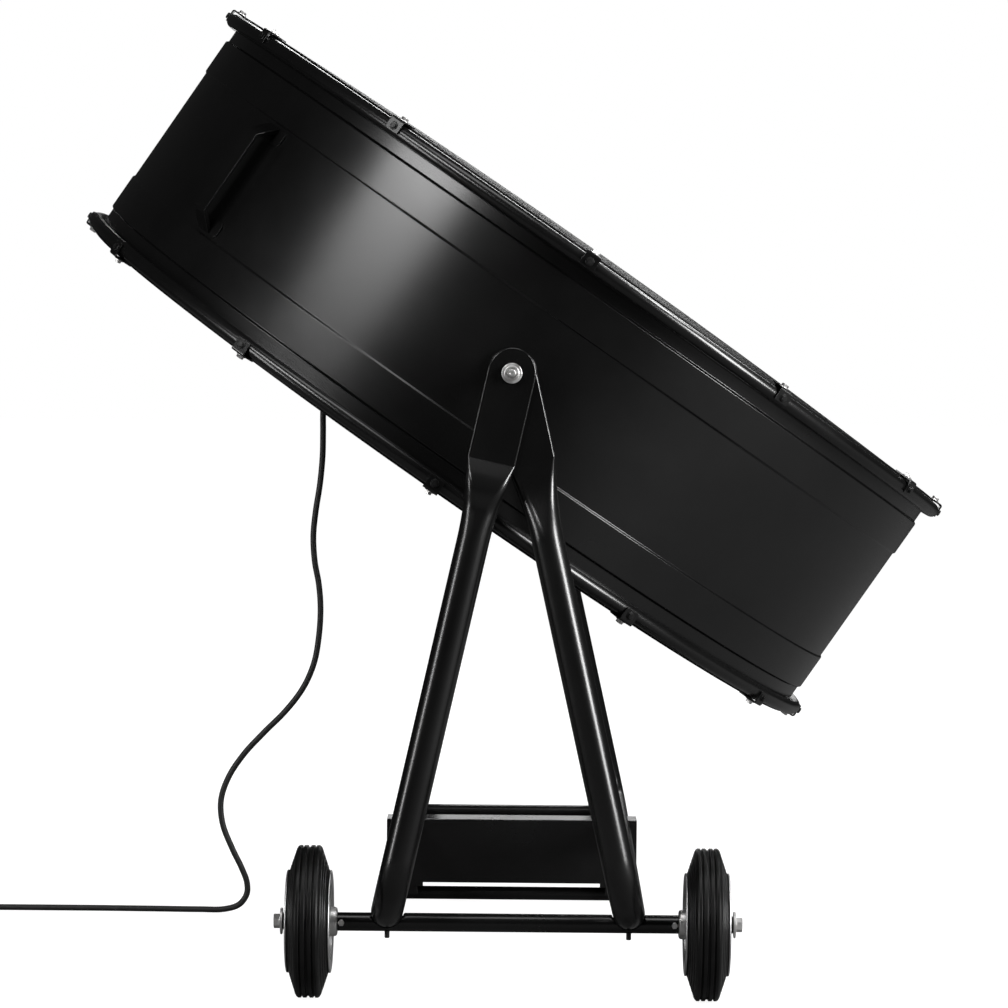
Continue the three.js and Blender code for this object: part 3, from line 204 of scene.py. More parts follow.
def filleted(outline, radius, steps=4, closed=True):
    """An outline with its corners rounded; radius is one size or one for each corner."""
    corners = [Vector(p) for p in outline]
    radii = radius if isinstance(radius, list) else [radius] * len(corners)
    result = []
    for i, corner in enumerate(corners):
        if not closed and i in (0, len(corners) - 1):
            result.append(corner)
            continue
        back = corners[i - 1] - corner
        ahead = corners[(i + 1) % len(corners)] - corner
        half_turn = (math.pi - back.angle(ahead)) / 2
        reach = min(radii[i] * math.tan(half_turn), 0.45 * back.length, 0.45 * ahead.length)
        start, end = corner + back.normalized() * reach, corner + ahead.normalized() * reach
        for k in range(steps + 1):
            t = k / steps
            result.append(start.lerp(corner, t).lerp(corner.lerp(end, t), t))
    return [tuple(p) for p in result]


def rounded_rectangle(width, height, radius, steps=4):
    x, y = width / 2, height / 2
    return filleted([(-x, -y), (x, -y), (x, y), (-x, y)], radius, steps)


def raised(profile, height):
    """A turned piece's (radius, height) pairs, from another height."""
    return [(radius, height + z) for radius, z in profile]


def bore_shape(radius, reach, sides):
    """A round cutter along Z, that reaches as far up as down."""
    return lathe([(0, -reach), (radius, -reach), (radius, reach), (0, reach)], sides)


def screw_shape(radius, head, flats, washer, washer_thick):
    """A flanged hexagon head with its washer face, standing on Z = 0."""
    low = lathe([(0, 0), (washer, 0), (washer, washer_thick * 0.6), (washer * 0.93, washer_thick),
                 (0, washer_thick)], 28)
    corner = flats / 2 / math.cos(math.pi / 6)
    top = washer_thick + head
    rings = [[Vector((x, y, z)) for x, y in circle(r, 6)]
             for r, z in ((corner, washer_thick * 0.9), (corner, top - 0.6), (corner * 0.9, top))]
    dish = lathe([(0, top - 0.4), (radius * 0.8, top - 0.4), (radius, top + 0.25), (0, top + 0.3)], 20)
    return joined(low, loft(rings), dish)


def rivet_shape(radius, height):
    """A round head, standing on Z = 0 and let in a little."""
    steps = 5
    dome = []
    for i in range(steps):
        angle = math.pi / 2 * i / steps
        dome.append((radius * math.cos(angle), height * math.sin(angle)))
    return lathe([(0, -0.3), (radius, -0.3), *dome, (0, height)], 20)


def clamp(value, low=0.0, high=1.0):
    return max(low, min(high, value))


def ease(value):
    value = clamp(value)
    return value * value * (3 - 2 * value)


def mix(a, b, share):
    return a + (b - a) * share


# ---------------------------------------------------------------- pieces


def link(name, mesh):
    piece = bpy.data.objects.new(name, mesh)
    bpy.context.scene.collection.objects.link(piece)
    return piece


def mesh_of(name, shape, place=IN_PLACE):
    points, faces = moved(shape, place)
    mesh = bpy.data.meshes.new(name)
    mesh.from_pydata([p * MM for p in points], [], faces)
    work = bmesh.new()
    work.from_mesh(mesh)
    bmesh.ops.recalc_face_normals(work, faces=work.faces)
    work.to_mesh(mesh)
    work.free()
    return mesh


def bevel(piece, width):
    edge = piece.modifiers.new("edge", "BEVEL")
    edge.width = width * MM
    edge.segments = 3
    edge.limit_method = "ANGLE"
    edge.angle_limit = math.radians(30)
    edge.harden_normals = False


def plain_mesh(piece):
    """Turns what the modifiers show into the piece's own mesh."""
    shown = piece.evaluated_get(bpy.context.evaluated_depsgraph_get())
    mesh = bpy.data.meshes.new_from_object(shown)
    piece.modifiers.clear()
    piece.data = mesh
    return mesh


def carve(piece, *tools):
    """Cuts shapes, given in millimetres in the world's frame, out of a piece."""
    cutters = [link("cutter", mesh_of("cutter", tool)) for tool in tools]
    for cutter in cutters:
        cut = piece.modifiers.new("cut", "BOOLEAN")
        cut.operation = "DIFFERENCE"
        cut.solver = "EXACT"
        cut.object = cutter
    plain_mesh(piece)
    for cutter in cutters:
        bpy.data.objects.remove(cutter)


def shade(piece, crease):
    """Smooths a piece up to a crease angle; its flat faces stay flat beside rounded edges."""
    mesh = piece.data
    mesh.polygons.foreach_set("use_smooth", [True] * len(mesh.polygons))
    mesh.set_sharp_from_angle(angle=math.radians(crease))
    even = piece.modifiers.new("even", "WEIGHTED_NORMAL")
    even.keep_sharp = True
    plain_mesh(piece)


def settle(piece, material, body, nodes, crease):
    piece.data.materials.clear()
    piece.data.materials.append(material)
    shade(piece, crease)
    if body:
        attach(piece, body)
    if nodes:
        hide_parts(*nodes)
    return piece


def make(name, shape, look, body, nodes=(), place=IN_PLACE, edge=0.0, crease=35, cuts=()):
    """A piece from a shape. look is a (material, slot) pair."""
    piece = link(name, mesh_of(name, shape, place))
    if cuts:
        carve(piece, *cuts)
    if edge:
        bevel(piece, edge)
        plain_mesh(piece)
    return settle(piece, look[0], body, nodes, crease)


# ---------------------------------------------------------------- surface effects


def new_group(name, inputs, outputs):
    tree = bpy.data.node_groups.new(name, "ShaderNodeTree")
    for label, kind, value in inputs:
        socket = tree.interface.new_socket(label, in_out="INPUT", socket_type=kind)
        if value is not None:
            socket.default_value = value
    for label, kind in outputs:
        tree.interface.new_socket(label, in_out="OUTPUT", socket_type=kind)
    return tree, tree.nodes.new("NodeGroupInput"), tree.nodes.new("NodeGroupOutput")


def noise_node(tree, detail, roughness=0.5):
    node = tree.nodes.new("ShaderNodeTexNoise")
    node.inputs["Detail"].default_value = detail
    node.inputs["Roughness"].default_value = roughness
    return node


def grain_group():
    """Fine and broad unevenness over a surface: fine is for bumps, broad for gloss and colour."""
    tree, given, result = new_group(
        "surface_grain",
        [("Vector", "NodeSocketVector", None), ("Fine", "NodeSocketFloat", 900.0),
         ("Broad", "NodeSocketFloat", 9.0)],
        [("Fine", "NodeSocketFloat"), ("Broad", "NodeSocketFloat")],
    )
    for label, detail, roughness in (("Fine", 2, 0.45), ("Broad", 5, 0.6)):
        pattern = noise_node(tree, detail, roughness)
        tree.links.new(given.outputs["Vector"], pattern.inputs["Vector"])
        tree.links.new(given.outputs[label], pattern.inputs["Scale"])
        tree.links.new(pattern.outputs["Fac"], result.inputs[label])
    return tree


def streak_group():
    """Fine streaks along Z of the vector it is given, such as brushing or turning marks."""
    tree, given, result = new_group(
        "streaks",
        [("Vector", "NodeSocketVector", None), ("Scale", "NodeSocketFloat", 400.0),
         ("Stretch", "NodeSocketFloat", 0.03)],
        [("Value", "NodeSocketFloat")],
    )
    squeeze = tree.nodes.new("ShaderNodeCombineXYZ")
    squeeze.inputs["X"].default_value = 1
    squeeze.inputs["Y"].default_value = 1
    tree.links.new(given.outputs["Stretch"], squeeze.inputs["Z"])
    stretched = tree.nodes.new("ShaderNodeVectorMath")
    stretched.operation = "MULTIPLY"
    tree.links.new(given.outputs["Vector"], stretched.inputs[0])
    tree.links.new(squeeze.outputs["Vector"], stretched.inputs[1])
    pattern = noise_node(tree, 3)
    tree.links.new(stretched.outputs["Vector"], pattern.inputs["Vector"])
    tree.links.new(given.outputs["Scale"], pattern.inputs["Scale"])
    tree.links.new(pattern.outputs["Fac"], result.inputs["Value"])
    return tree


GRAIN = grain_group()
STREAKS = streak_group()


def mapped(tree, value, low, high):
    """Spreads a noise, most of which lies between 0.3 and 0.7, over a range."""
    node = tree.nodes.new("ShaderNodeMapRange")
    node.inputs["From Min"].default_value = 0.3
    node.inputs["From Max"].default_value = 0.7
    node.inputs["To Min"].default_value = low
    node.inputs["To Max"].default_value = high
    tree.links.new(value, node.inputs["Value"])
    return node.outputs["Result"]


def finish_of(
    name, dark, light, rough, metallic=0.0, specular=0.5, fine=900.0, broad=9.0, bump=0.0, streaks=None,
):
    """A material: colour and gloss drift with the broad grain, the fine grain or streaks lift it."""
    material = bpy.data.materials.new(name)
    material.use_nodes = True
    tree = material.node_tree
    surface = tree.nodes["Principled BSDF"]
    surface.inputs["Metallic"].default_value = metallic
    surface.inputs["Specular IOR Level"].default_value = specular
    place = tree.nodes.new("ShaderNodeTexCoord")
    grain = tree.nodes.new("ShaderNodeGroup")
    grain.node_tree = GRAIN
    grain.inputs["Fine"].default_value = fine
    grain.inputs["Broad"].default_value = broad
    tree.links.new(place.outputs["Object"], grain.inputs["Vector"])
    colour = tree.nodes.new("ShaderNodeMix")
    colour.data_type = "RGBA"
    colour.inputs["A"].default_value = (*dark, 1)
    colour.inputs["B"].default_value = (*light, 1)
    tree.links.new(mapped(tree, grain.outputs["Broad"], 0, 1), colour.inputs["Factor"])
    tree.links.new(colour.outputs["Result"], surface.inputs["Base Color"])
    height = grain.outputs["Fine"]
    gloss = grain.outputs["Broad"]
    if streaks:
        marks = tree.nodes.new("ShaderNodeGroup")
        marks.node_tree = STREAKS
        marks.inputs["Scale"].default_value = streaks[0]
        marks.inputs["Stretch"].default_value = streaks[1]
        tree.links.new(place.outputs["Object"], marks.inputs["Vector"])
        height = gloss = marks.outputs["Value"]
    tree.links.new(mapped(tree, gloss, *rough), surface.inputs["Roughness"])
    if bump:
        lift = tree.nodes.new("ShaderNodeBump")
        lift.inputs["Strength"].default_value = 1
        lift.inputs["Distance"].default_value = bump * MM
        tree.links.new(height, lift.inputs["Height"])
        tree.links.new(lift.outputs["Normal"], surface.inputs["Normal"])
    return material


def grey(value, warm=0.0):
    return (value * (1 + warm), value, value * (1 - warm))


PAINT = (finish_of("gloss_black_powder", grey(0.002), grey(0.0035), (0.22, 0.28),
                   specular=0.45, fine=420, broad=6, bump=0.01), "black_paint")
WIRE = (finish_of("gloss_black_wire", grey(0.003), grey(0.005), (0.36, 0.46),
                  specular=0.1, fine=700, broad=20, bump=0.008), "black_wire")
MOTOR_PAINT = (finish_of("satin_motor_paint", grey(0.012), grey(0.02), (0.38, 0.5),
                         fine=600, broad=14, bump=0.03), "motor_paint")
CAST = (finish_of("cast_aluminium", grey(0.42), grey(0.52), (0.38, 0.52),
                  metallic=1, fine=500, broad=25, bump=0.04), "motor_cover")
STEEL = (finish_of("bare_steel", grey(0.42), grey(0.52), (0.28, 0.42),
                   metallic=1, fine=900, broad=18, bump=0.004, streaks=(900, 0.04)), "bare_steel")
BLACK_STEEL = (finish_of("black_oxide_steel", grey(0.012), grey(0.022), (0.3, 0.44),
                         metallic=0.6, fine=800, broad=40, bump=0.006), "black_steel")
BLADE = (finish_of("mill_aluminium", grey(0.62), grey(0.72), (0.3, 0.46),
                   metallic=1, fine=300, broad=7, bump=0.003, streaks=(260, 0.05)), "blade_metal")
PLASTIC = (finish_of("black_moulded_plastic", grey(0.012), grey(0.018), (0.4, 0.52),
                     fine=1500, broad=30, bump=0.012), "black_plastic")
PAD = (finish_of("pad_rubber", grey(0.010), grey(0.018), (0.62, 0.78),
                 specular=0.35, fine=900, broad=40, bump=0.03), "pad_rubber")
TYRE = (finish_of("tyre_rubber", grey(0.003), grey(0.006), (0.3, 0.44),
                  specular=0.18, fine=700, broad=35, bump=0.035), "tyre_rubber")
RIM = (finish_of("zinc_wheel_rim", grey(0.5), grey(0.66), (0.36, 0.5),
                 metallic=1, fine=500, broad=45, bump=0.01), "rim_zinc")
ZINC = (finish_of("bright_zinc", grey(0.62, 0.02), grey(0.76), (0.34, 0.48),
                  metallic=1, fine=900, broad=90, bump=0.006), "zinc")
CORD = (finish_of("cord_jacket", grey(0.010), grey(0.016), (0.46, 0.6),
                  specular=0.4, fine=1100, broad=60, bump=0.012), "cord_rubber")

# ---------------------------------------------------------------- power cord, coil and plug

CORD_SIZE = 8
CORD_ROUTE = [
    (-233.4, 126, 729), (-240.2, 126, 719.1), (-246.4, 126, 709.6), (-251.3, 126, 699.8),
    (-254.3, 126, 688.6), (-255.4, 126, 676), (-255.4, 126.5, 646), (-255.9, 127, 615),
    (-259.2, 127.5, 578), (-264.9, 128, 540), (-267.7, 128, 508), (-265.6, 128.5, 474),
    (-260.1, 129, 444), (-257.6, 129, 412), (-259.6, 129, 374), (-265.9, 129, 338),
    (-280, 129, 305), (-303, 129, 274), (-332, 129, 244.5), (-359, 129, 215),
    (-379.4, 129, 184), (-389.6, 129, 153), (-387.4, 129, 121), (-374.6, 129, 88),
    (-361.4, 129, 61), (-354.4, 129, 42), (-354.6, 129, 26), (-364.6, 129, 12),
    (-384, 129, 5.6), (-418, 130, 4.8), (-475, 132, 4.8), (-545, 133, 4.9),
    (-620, 132.4, 5), (-690, 131.2, 5.1), (-742, 131, 5.1), (-753.7, 131, 5.1),
]
ROUTE_STEPS = 8
CORD_SIDES = 16
COIL_PLACE = (-762, 78.4)
COIL_OUTER = 52.6
COIL_PITCH = 8.6
COIL_REVERSE = 2.25             # turns until the spiral winds outwards again
COIL_TURNS = 4.25
COIL_STEPS = 48
LOW_LAYER = 5.1
TIE_WIDTH = 9
TIE_THICK = 0.8
TIE_SLACK = 0.2                 # between the tie and the turns that it holds
TIE_LOW = 0.9
TIE_CORNER = 4
PLUG_LEAD = 44.3
PLUG_RELIEF = 14
PLUG_RIBS = 5
PLUG_RIB = [(0, 0.5), (0.25, 0), (0.6, 0), (0.8, 0.5)]  # (share of a rib's length, drop)
PLUG_JACKET = (0.9, 2.4)        # the relief's thickness over the cord, at its two ends
PLUG_CORNER = 0.45
PLUG_LENGTH = 36
PLUG_OUTLINE = [                # (reach past the relief, half width)
    (0, 6.2), (3, 9.72), (7, 12.15), (12, 12.69), (22.32, 11.61), (26.32, 12.42), (27.82, 13.5),
    (PLUG_LENGTH - 1.2, 13.5), (PLUG_LENGTH, 12.3),
]
PIN_LENGTH = 18
PIN_RADIUS = 2.4
PIN_SPACING = 9.5
GLAND_PLACE = (-185, 126)
GLAND_SEAT = -116.6
GLAND_LENGTH = 26
GLAND_NUT = 8
GLAND_COLLAR = 9
GLAND_CHAMFER = 0.8
GLAND_RIBS = 6
GLAND_TAPER = (7.8, 5.6)
GLAND_RIB = [(0.7, 0), (0, 0.2), (0.1, 0.6), (0.8, 0.8)]  # (drop, share of a rib's length)


def smooth_path(points, steps):
    """A centripetal curve through the points, with so many steps from each to the next."""
    points = [Vector(p) for p in points]
    points = [2 * points[0] - points[1], *points, 2 * points[-1] - points[-2]]
    path = []
    for p0, p1, p2, p3 in zip(points, points[1:], points[2:], points[3:]):
        spans = [math.sqrt((b - a).length) for a, b in ((p0, p1), (p1, p2), (p2, p3))]
        t1, t2, t3 = spans[0], spans[0] + spans[1], sum(spans)
        for k in range(steps):
            t = mix(t1, t2, k / steps)
            a1 = p0.lerp(p1, t / t1)
            a2 = p1.lerp(p2, (t - t1) / (t2 - t1))
            a3 = p2.lerp(p3, (t - t2) / (t3 - t2))
            b1 = a1.lerp(a2, t / t2)
            b2 = a2.lerp(a3, (t - t1) / (t3 - t1))
            path.append(b1.lerp(b2, (t - t1) / (t2 - t1)))
    return [*path, points[-2]]


def coil_point(turns):
    inward = min(turns, COIL_REVERSE) - max(turns - COIL_REVERSE, 0)
    radius = COIL_OUTER - COIL_PITCH * inward
    climb = clamp((turns - COIL_REVERSE + 0.25) * 2)
    angle = math.pi / 2 + 2 * math.pi * turns
    return Vector((
        COIL_PLACE[0] + radius * math.cos(angle),
        COIL_PLACE[1] + radius * math.sin(angle),
        LOW_LAYER + COIL_PITCH * ease(climb),
    ))


def cord_path():
    coil_steps = round(COIL_TURNS * COIL_STEPS)
    coil = [coil_point(i * COIL_TURNS / coil_steps) for i in range(coil_steps + 1)]
    lead = [coil[-1] + Vector((0, -PLUG_LEAD * i / 4, 0)) for i in range(1, 5)]
    return smooth_path(CORD_ROUTE, ROUTE_STEPS)[:-1] + coil + lead


def add_cord():
    path = cord_path()
    name = "power_cord_whole"
    cord = link(name, mesh_of(name, tube(path, CORD_SIZE / 2, CORD_SIDES)))
    settle(cord, CORD[0], None, ("power_cord", "cord_coil", "plug_lead"), 60)
    tie = add_tie()
    plug, pins = add_plug(path[-1])
    gland = add_gland()
    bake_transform(cord)


def add_tie():
    """A flat band round the coil's turns, on the side that the cord comes from."""
    inside = COIL_OUTER - COIL_PITCH * COIL_REVERSE - CORD_SIZE / 2 - TIE_SLACK
    outside = COIL_OUTER + CORD_SIZE / 2 + TIE_SLACK
    high = LOW_LAYER + COIL_PITCH + CORD_SIZE / 2 + TIE_SLACK
    half = TIE_WIDTH / 2
    rings = []
    for grow, y in ((0, -half), (0, half), (TIE_THICK, half), (TIE_THICK, -half)):
        corners = [(inside - grow, TIE_LOW - grow), (outside + grow, TIE_LOW - grow),
                   (outside + grow, high + grow), (inside - grow, high + grow)]
        rings.append([Vector((COIL_PLACE[0] + x, COIL_PLACE[1] + y, z))
                      for x, z in filleted(corners, TIE_CORNER + grow, 6)])
    return make("coil_tie", loft(rings, closed=True), PLASTIC, "stand", ["cord_tie"], crease=40)


def plug_section(along, radius, corner):
    """A ring round a plug that points towards -Y; corner is a share of its radius."""
    outline = rounded_rectangle(2 * radius, 2 * radius, radius * corner, 7)
    return [Vector((x, -along, z)) for x, z in outline]


def add_plug(start):
    """A moulded plug with a ribbed relief, lying with its pins away from the coil."""
    rings = []
    for i in range(PLUG_RIBS):
        radius = CORD_SIZE / 2 + mix(*PLUG_JACKET, i / PLUG_RIBS)
        for share, drop in PLUG_RIB:
            rings.append(plug_section(PLUG_RELIEF * (i + share) / PLUG_RIBS, radius - drop, 1))
    for reach, half in PLUG_OUTLINE:
        rings.append(plug_section(PLUG_RELIEF + reach, half, PLUG_CORNER))
    at = Matrix.Translation(start)
    body = make("plug_body", loft(rings), PLASTIC, "stand", ["plug"], place=at, crease=38)
    pin = lathe([(0, 0), (PIN_RADIUS, 0), (PIN_RADIUS, PIN_LENGTH - 1.6),
                 (PIN_RADIUS * 0.8, PIN_LENGTH - 0.5), (0, PIN_LENGTH)], 20)
    end = PLUG_RELIEF + PLUG_LENGTH
    low, high = -PIN_SPACING / 2, PIN_SPACING / 2
    shapes = []
    for x, z in ((-PIN_SPACING, low), (PIN_SPACING, low), (0, high)):
        shapes.append(moved(pin, Matrix.Translation((x, -end, z)) @ turned_about("X", 90)))
    pins = make("plug_pins", joined(*shapes), ZINC, "stand", place=at)
    return body, pins


def add_gland():
    """The strain relief: a nut and a tapered, ribbed sleeve down to the cord."""
    foot = GLAND_SEAT - GLAND_NUT
    rings = [(0, GLAND_SEAT), (GLAND_COLLAR, GLAND_SEAT), (GLAND_COLLAR, foot + GLAND_CHAMFER),
             (GLAND_COLLAR - GLAND_CHAMFER, foot)]
    pitch = (GLAND_LENGTH - GLAND_NUT) / GLAND_RIBS
    for i in range(GLAND_RIBS):
        radius = mix(*GLAND_TAPER, i / GLAND_RIBS)
        for drop, share in GLAND_RIB:
            rings.append((radius - drop, foot - pitch * (i + 0.1 + share)))
    rings += [(4.5, GLAND_SEAT - GLAND_LENGTH), (0, GLAND_SEAT - GLAND_LENGTH)]
    shape = shifted(lathe(rings, 32), *GLAND_PLACE, 0)
    return make("strain_relief", shape, PLASTIC, "drum", ["cable_gland"], place=DRUM)


add_cord()

# ---------------------------------------------------------------- drum wall and end rings

DRUM_SIDES = 288
DRUM_HALF = RING_PLACE + RING_TUBE / 2 - BAND_STEP
WALL_BEND = 1.6
RING_SIDES = 24


def wall_profile(inset):
    upper = [
        (DRUM_RADIUS - inset, BAND_INNER),
        (DRUM_RADIUS + BAND_PROUD - inset, BAND_INNER + BAND_STEP),
        (DRUM_RADIUS + BAND_PROUD - inset, BAND_OUTER),
        (NECK_RADIUS - inset, BAND_OUTER + BAND_STEP),
        (NECK_RADIUS - inset, DRUM_HALF),
    ]
    whole = [(r, -z) for r, z in reversed(upper)] + upper
    return filleted(whole, WALL_BEND, 3, closed=False)


def add_drum():
    profile = wall_profile(0) + wall_profile(DRUM_WALL)[::-1]
    wall = lathe(profile, DRUM_SIDES, closed=True)
    make("drum_wall", wall, PAINT, "drum", ["drum_shell"], DRUM, crease=50)
    section = circle(RING_TUBE / 2, RING_SIDES)
    for end, side in (("front", 1), ("rear", -1)):
        profile = [(RING_RADIUS + x, side * RING_PLACE + z) for x, z in section]
        shape = lathe(profile, DRUM_SIDES, closed=True)
        make(f"{end}_ring_tube", shape, PAINT, "drum", [f"{end}_ring"], DRUM)


add_drum()

# ---------------------------------------------------------------- repeats by geometry nodes


class Repeats:
    """A small geometry tree whose sizes are named inputs; nodes are added by type."""

    def __init__(self, name):
        self.tree = bpy.data.node_groups.new(name, "GeometryNodeTree")
        self.tree.interface.new_socket("Geometry", in_out="INPUT", socket_type="NodeSocketGeometry")
        self.tree.interface.new_socket("Geometry", in_out="OUTPUT", socket_type="NodeSocketGeometry")
        self.given = self.tree.nodes.new("NodeGroupInput")
        self.result = self.tree.nodes.new("NodeGroupOutput")
        self.sizes = {}

    def size(self, name, kind="NodeSocketFloat"):
        socket = self.tree.interface.new_socket(name, in_out="INPUT", socket_type=kind)
        self.sizes[name] = socket.identifier
        return self.given.outputs[name]

    def node(self, kind, settings=None, **inputs):
        made = self.tree.nodes.new(kind)
        for setting, value in (settings or {}).items():
            setattr(made, setting, value)
        for label, value in inputs.items():
            self.feed(made, label.replace("_", " "), value)
        return made

    def feed(self, node, label, value):
        """Gives a value or a link to an input, by its name or its number."""
        socket = node.inputs[label]
        if isinstance(value, bpy.types.NodeSocket):
            self.tree.links.new(value, socket)
        else:
            socket.default_value = value

    def math(self, operation, *values):
        made = self.node("ShaderNodeMath", {"operation": operation})
        for number, value in enumerate(values):
            self.feed(made, number, value)
        return made.outputs[0]

    def end(self, shape, look):
        whole = self.node("GeometryNodeRealizeInstances", Geometry=shape)
        painted = self.node("GeometryNodeSetMaterial", Geometry=whole.outputs[0])
        painted.inputs["Material"].default_value = look[0]
        self.tree.links.new(painted.outputs[0], self.result.inputs[0])


def grown(name, repeats, sizes, look, body, nodes=(), place=IN_PLACE, crease=40):
    """Runs a tree once, in millimetres, and keeps what it makes as a plain piece."""
    piece = link(name, bpy.data.meshes.new(name))
    run = piece.modifiers.new("repeats", "NODES")
    run.node_group = repeats.tree
    for label, value in sizes.items():
        run[repeats.sizes[label]] = value
    mesh = plain_mesh(piece)
    mesh.transform(Matrix.Scale(MM, 4) @ place)
    mesh.validate()
    return settle(piece, look[0], body, nodes, crease)


def dome_height(repeats, radius, rim, rim_height, rise):
    """A height that falls off with the square of the radius, down to the rim."""
    share = repeats.math("DIVIDE", radius, rim)
    fall = repeats.math("SUBTRACT", 1.0, repeats.math("MULTIPLY", share, share))
    return repeats.math("ADD", rim_height, repeats.math("MULTIPLY", rise, fall))


def domed_wires(repeats, lines, dome, drop, thickness):
    """Lifts flat lines onto the dome and gives them their round section."""
    place = repeats.node("GeometryNodeInputPosition").outputs[0]
    parts = repeats.node("ShaderNodeSeparateXYZ", Vector=place)
    flat = repeats.node("ShaderNodeCombineXYZ", X=parts.outputs["X"], Y=parts.outputs["Y"])
    reach = repeats.node("ShaderNodeVectorMath", {"operation": "LENGTH"}, Vector=flat.outputs[0])
    height = repeats.math("SUBTRACT", dome_height(repeats, reach.outputs["Value"], *dome), drop)
    lift = repeats.node("ShaderNodeCombineXYZ", Z=height)
    lifted = repeats.node("GeometryNodeSetPosition", Geometry=lines, Offset=lift.outputs[0])
    half = repeats.math("MULTIPLY", thickness, 0.5)
    section = repeats.node("GeometryNodeCurvePrimitiveCircle", Resolution=WIRE_SIDES, Radius=half)
    wires = repeats.node(
        "GeometryNodeCurveToMesh", Curve=lifted.outputs[0], Profile_Curve=section.outputs["Curve"],
        Fill_Caps=True,
    )
    return wires.outputs[0]


ROUND_STEPS = 144
SPOKE_STEPS = 18
WIRE_SIDES = 8
SPOKE_START = 0.7               # as a share of the innermost round wire's radius
SPOKE_DROP = 0.8                # as a share of the wire, so that the wires are welded


def guard_tree():
    """A domed wire guard: round wires at one pitch over straight spokes from the middle."""
    guard = Repeats("wire_guard")
    rim = guard.size("Rim radius")
    rim_height = guard.size("Rim height")
    rise = guard.size("Rise")
    inner = guard.size("Inner radius")
    wire = guard.size("Wire")
    rings = guard.size("Round wires", "NodeSocketInt")
    spokes = guard.size("Spokes", "NodeSocketInt")
    turn = guard.size("Turn")
    dome = (rim, rim_height, rise)
    number = guard.node("GeometryNodeInputIndex").outputs[0]

    pitch = guard.math("DIVIDE", guard.math("SUBTRACT", rim, inner), rings)
    radius = guard.math("ADD", inner, guard.math("MULTIPLY", pitch, number))
    spots = guard.node("GeometryNodeMeshLine", Count=rings, Offset=(0, 0, 0))
    scale = guard.node("ShaderNodeCombineXYZ", X=radius, Y=radius, Z=1.0)
    round_one = guard.node("GeometryNodeCurvePrimitiveCircle", Resolution=ROUND_STEPS, Radius=1.0)
    round_all = guard.node(
        "GeometryNodeInstanceOnPoints", Points=spots.outputs[0], Instance=round_one.outputs["Curve"],
        Scale=scale.outputs[0],
    )
    round_lines = guard.node("GeometryNodeRealizeInstances", Geometry=round_all.outputs[0])
    round_wires = domed_wires(guard, round_lines.outputs[0], dome, 0.0, wire)

    start = guard.node("ShaderNodeCombineXYZ", X=guard.math("MULTIPLY", inner, SPOKE_START))
    end = guard.node("ShaderNodeCombineXYZ", X=guard.math("SUBTRACT", rim, wire))
    line = guard.node("GeometryNodeCurvePrimitiveLine", Start=start.outputs[0], End=end.outputs[0])
    stepped = guard.node("GeometryNodeResampleCurve", Curve=line.outputs[0], Count=SPOKE_STEPS)
    around = guard.node("GeometryNodeMeshLine", Count=spokes, Offset=(0, 0, 0))
    step = guard.math("DIVIDE", 2 * math.pi, spokes)
    angle = guard.math("ADD", turn, guard.math("MULTIPLY", number, step))
    rotation = guard.node("ShaderNodeCombineXYZ", Z=angle)
    spoke_all = guard.node(
        "GeometryNodeInstanceOnPoints", Points=around.outputs[0], Instance=stepped.outputs[0],
        Rotation=rotation.outputs[0],
    )
    spoke_lines = guard.node("GeometryNodeRealizeInstances", Geometry=spoke_all.outputs[0])
    under = guard.math("MULTIPLY", wire, SPOKE_DROP)
    spoke_wires = domed_wires(guard, spoke_lines.outputs[0], dome, under, wire)

    both = guard.node("GeometryNodeJoinGeometry")
    guard.tree.links.new(round_wires, both.inputs[0])
    guard.tree.links.new(spoke_wires, both.inputs[0])
    guard.end(both.outputs[0], WIRE)
    return guard


def round_tree(name, look):
    """Copies of one piece at even angles round Z."""
    ring = Repeats(name)
    piece = ring.size("Piece", "NodeSocketObject")
    count = ring.size("Count", "NodeSocketInt")
    turn = ring.size("Turn")
    number = ring.node("GeometryNodeInputIndex").outputs[0]
    step = ring.math("DIVIDE", 2 * math.pi, count)
    angle = ring.math("ADD", turn, ring.math("MULTIPLY", number, step))
    rotation = ring.node("ShaderNodeCombineXYZ", Z=angle)
    source = ring.node("GeometryNodeObjectInfo", Object=piece)
    spots = ring.node("GeometryNodeMeshLine", Count=count, Offset=(0, 0, 0))
    copies = ring.node(
        "GeometryNodeInstanceOnPoints", Points=spots.outputs[0], Instance=source.outputs["Geometry"],
        Rotation=rotation.outputs[0],
    )
    ring.end(copies.outputs[0], look)
    return ring


ROUND = {}


def round_about(name, shape, count, look, body, place, turn=0.0, edge=0.0):
    """A piece of so many copies of a shape round Z, the first turned by so many degrees."""
    if look[1] not in ROUND:
        ROUND[look[1]] = round_tree(f"round_{look[1]}", look)
    tree = ROUND[look[1]]
    mesh = mesh_of("one", shape, Matrix.Scale(1 / MM, 4))
    one = link("one", mesh)
    if edge:
        bevel(one, edge / MM)
        plain_mesh(one)
    sizes = {"Piece": one, "Count": count, "Turn": math.radians(turn)}
    grown(name, tree, sizes, look, body, place=place)
    bpy.data.objects.remove(one)


# ---------------------------------------------------------------- guards, clips and their screws

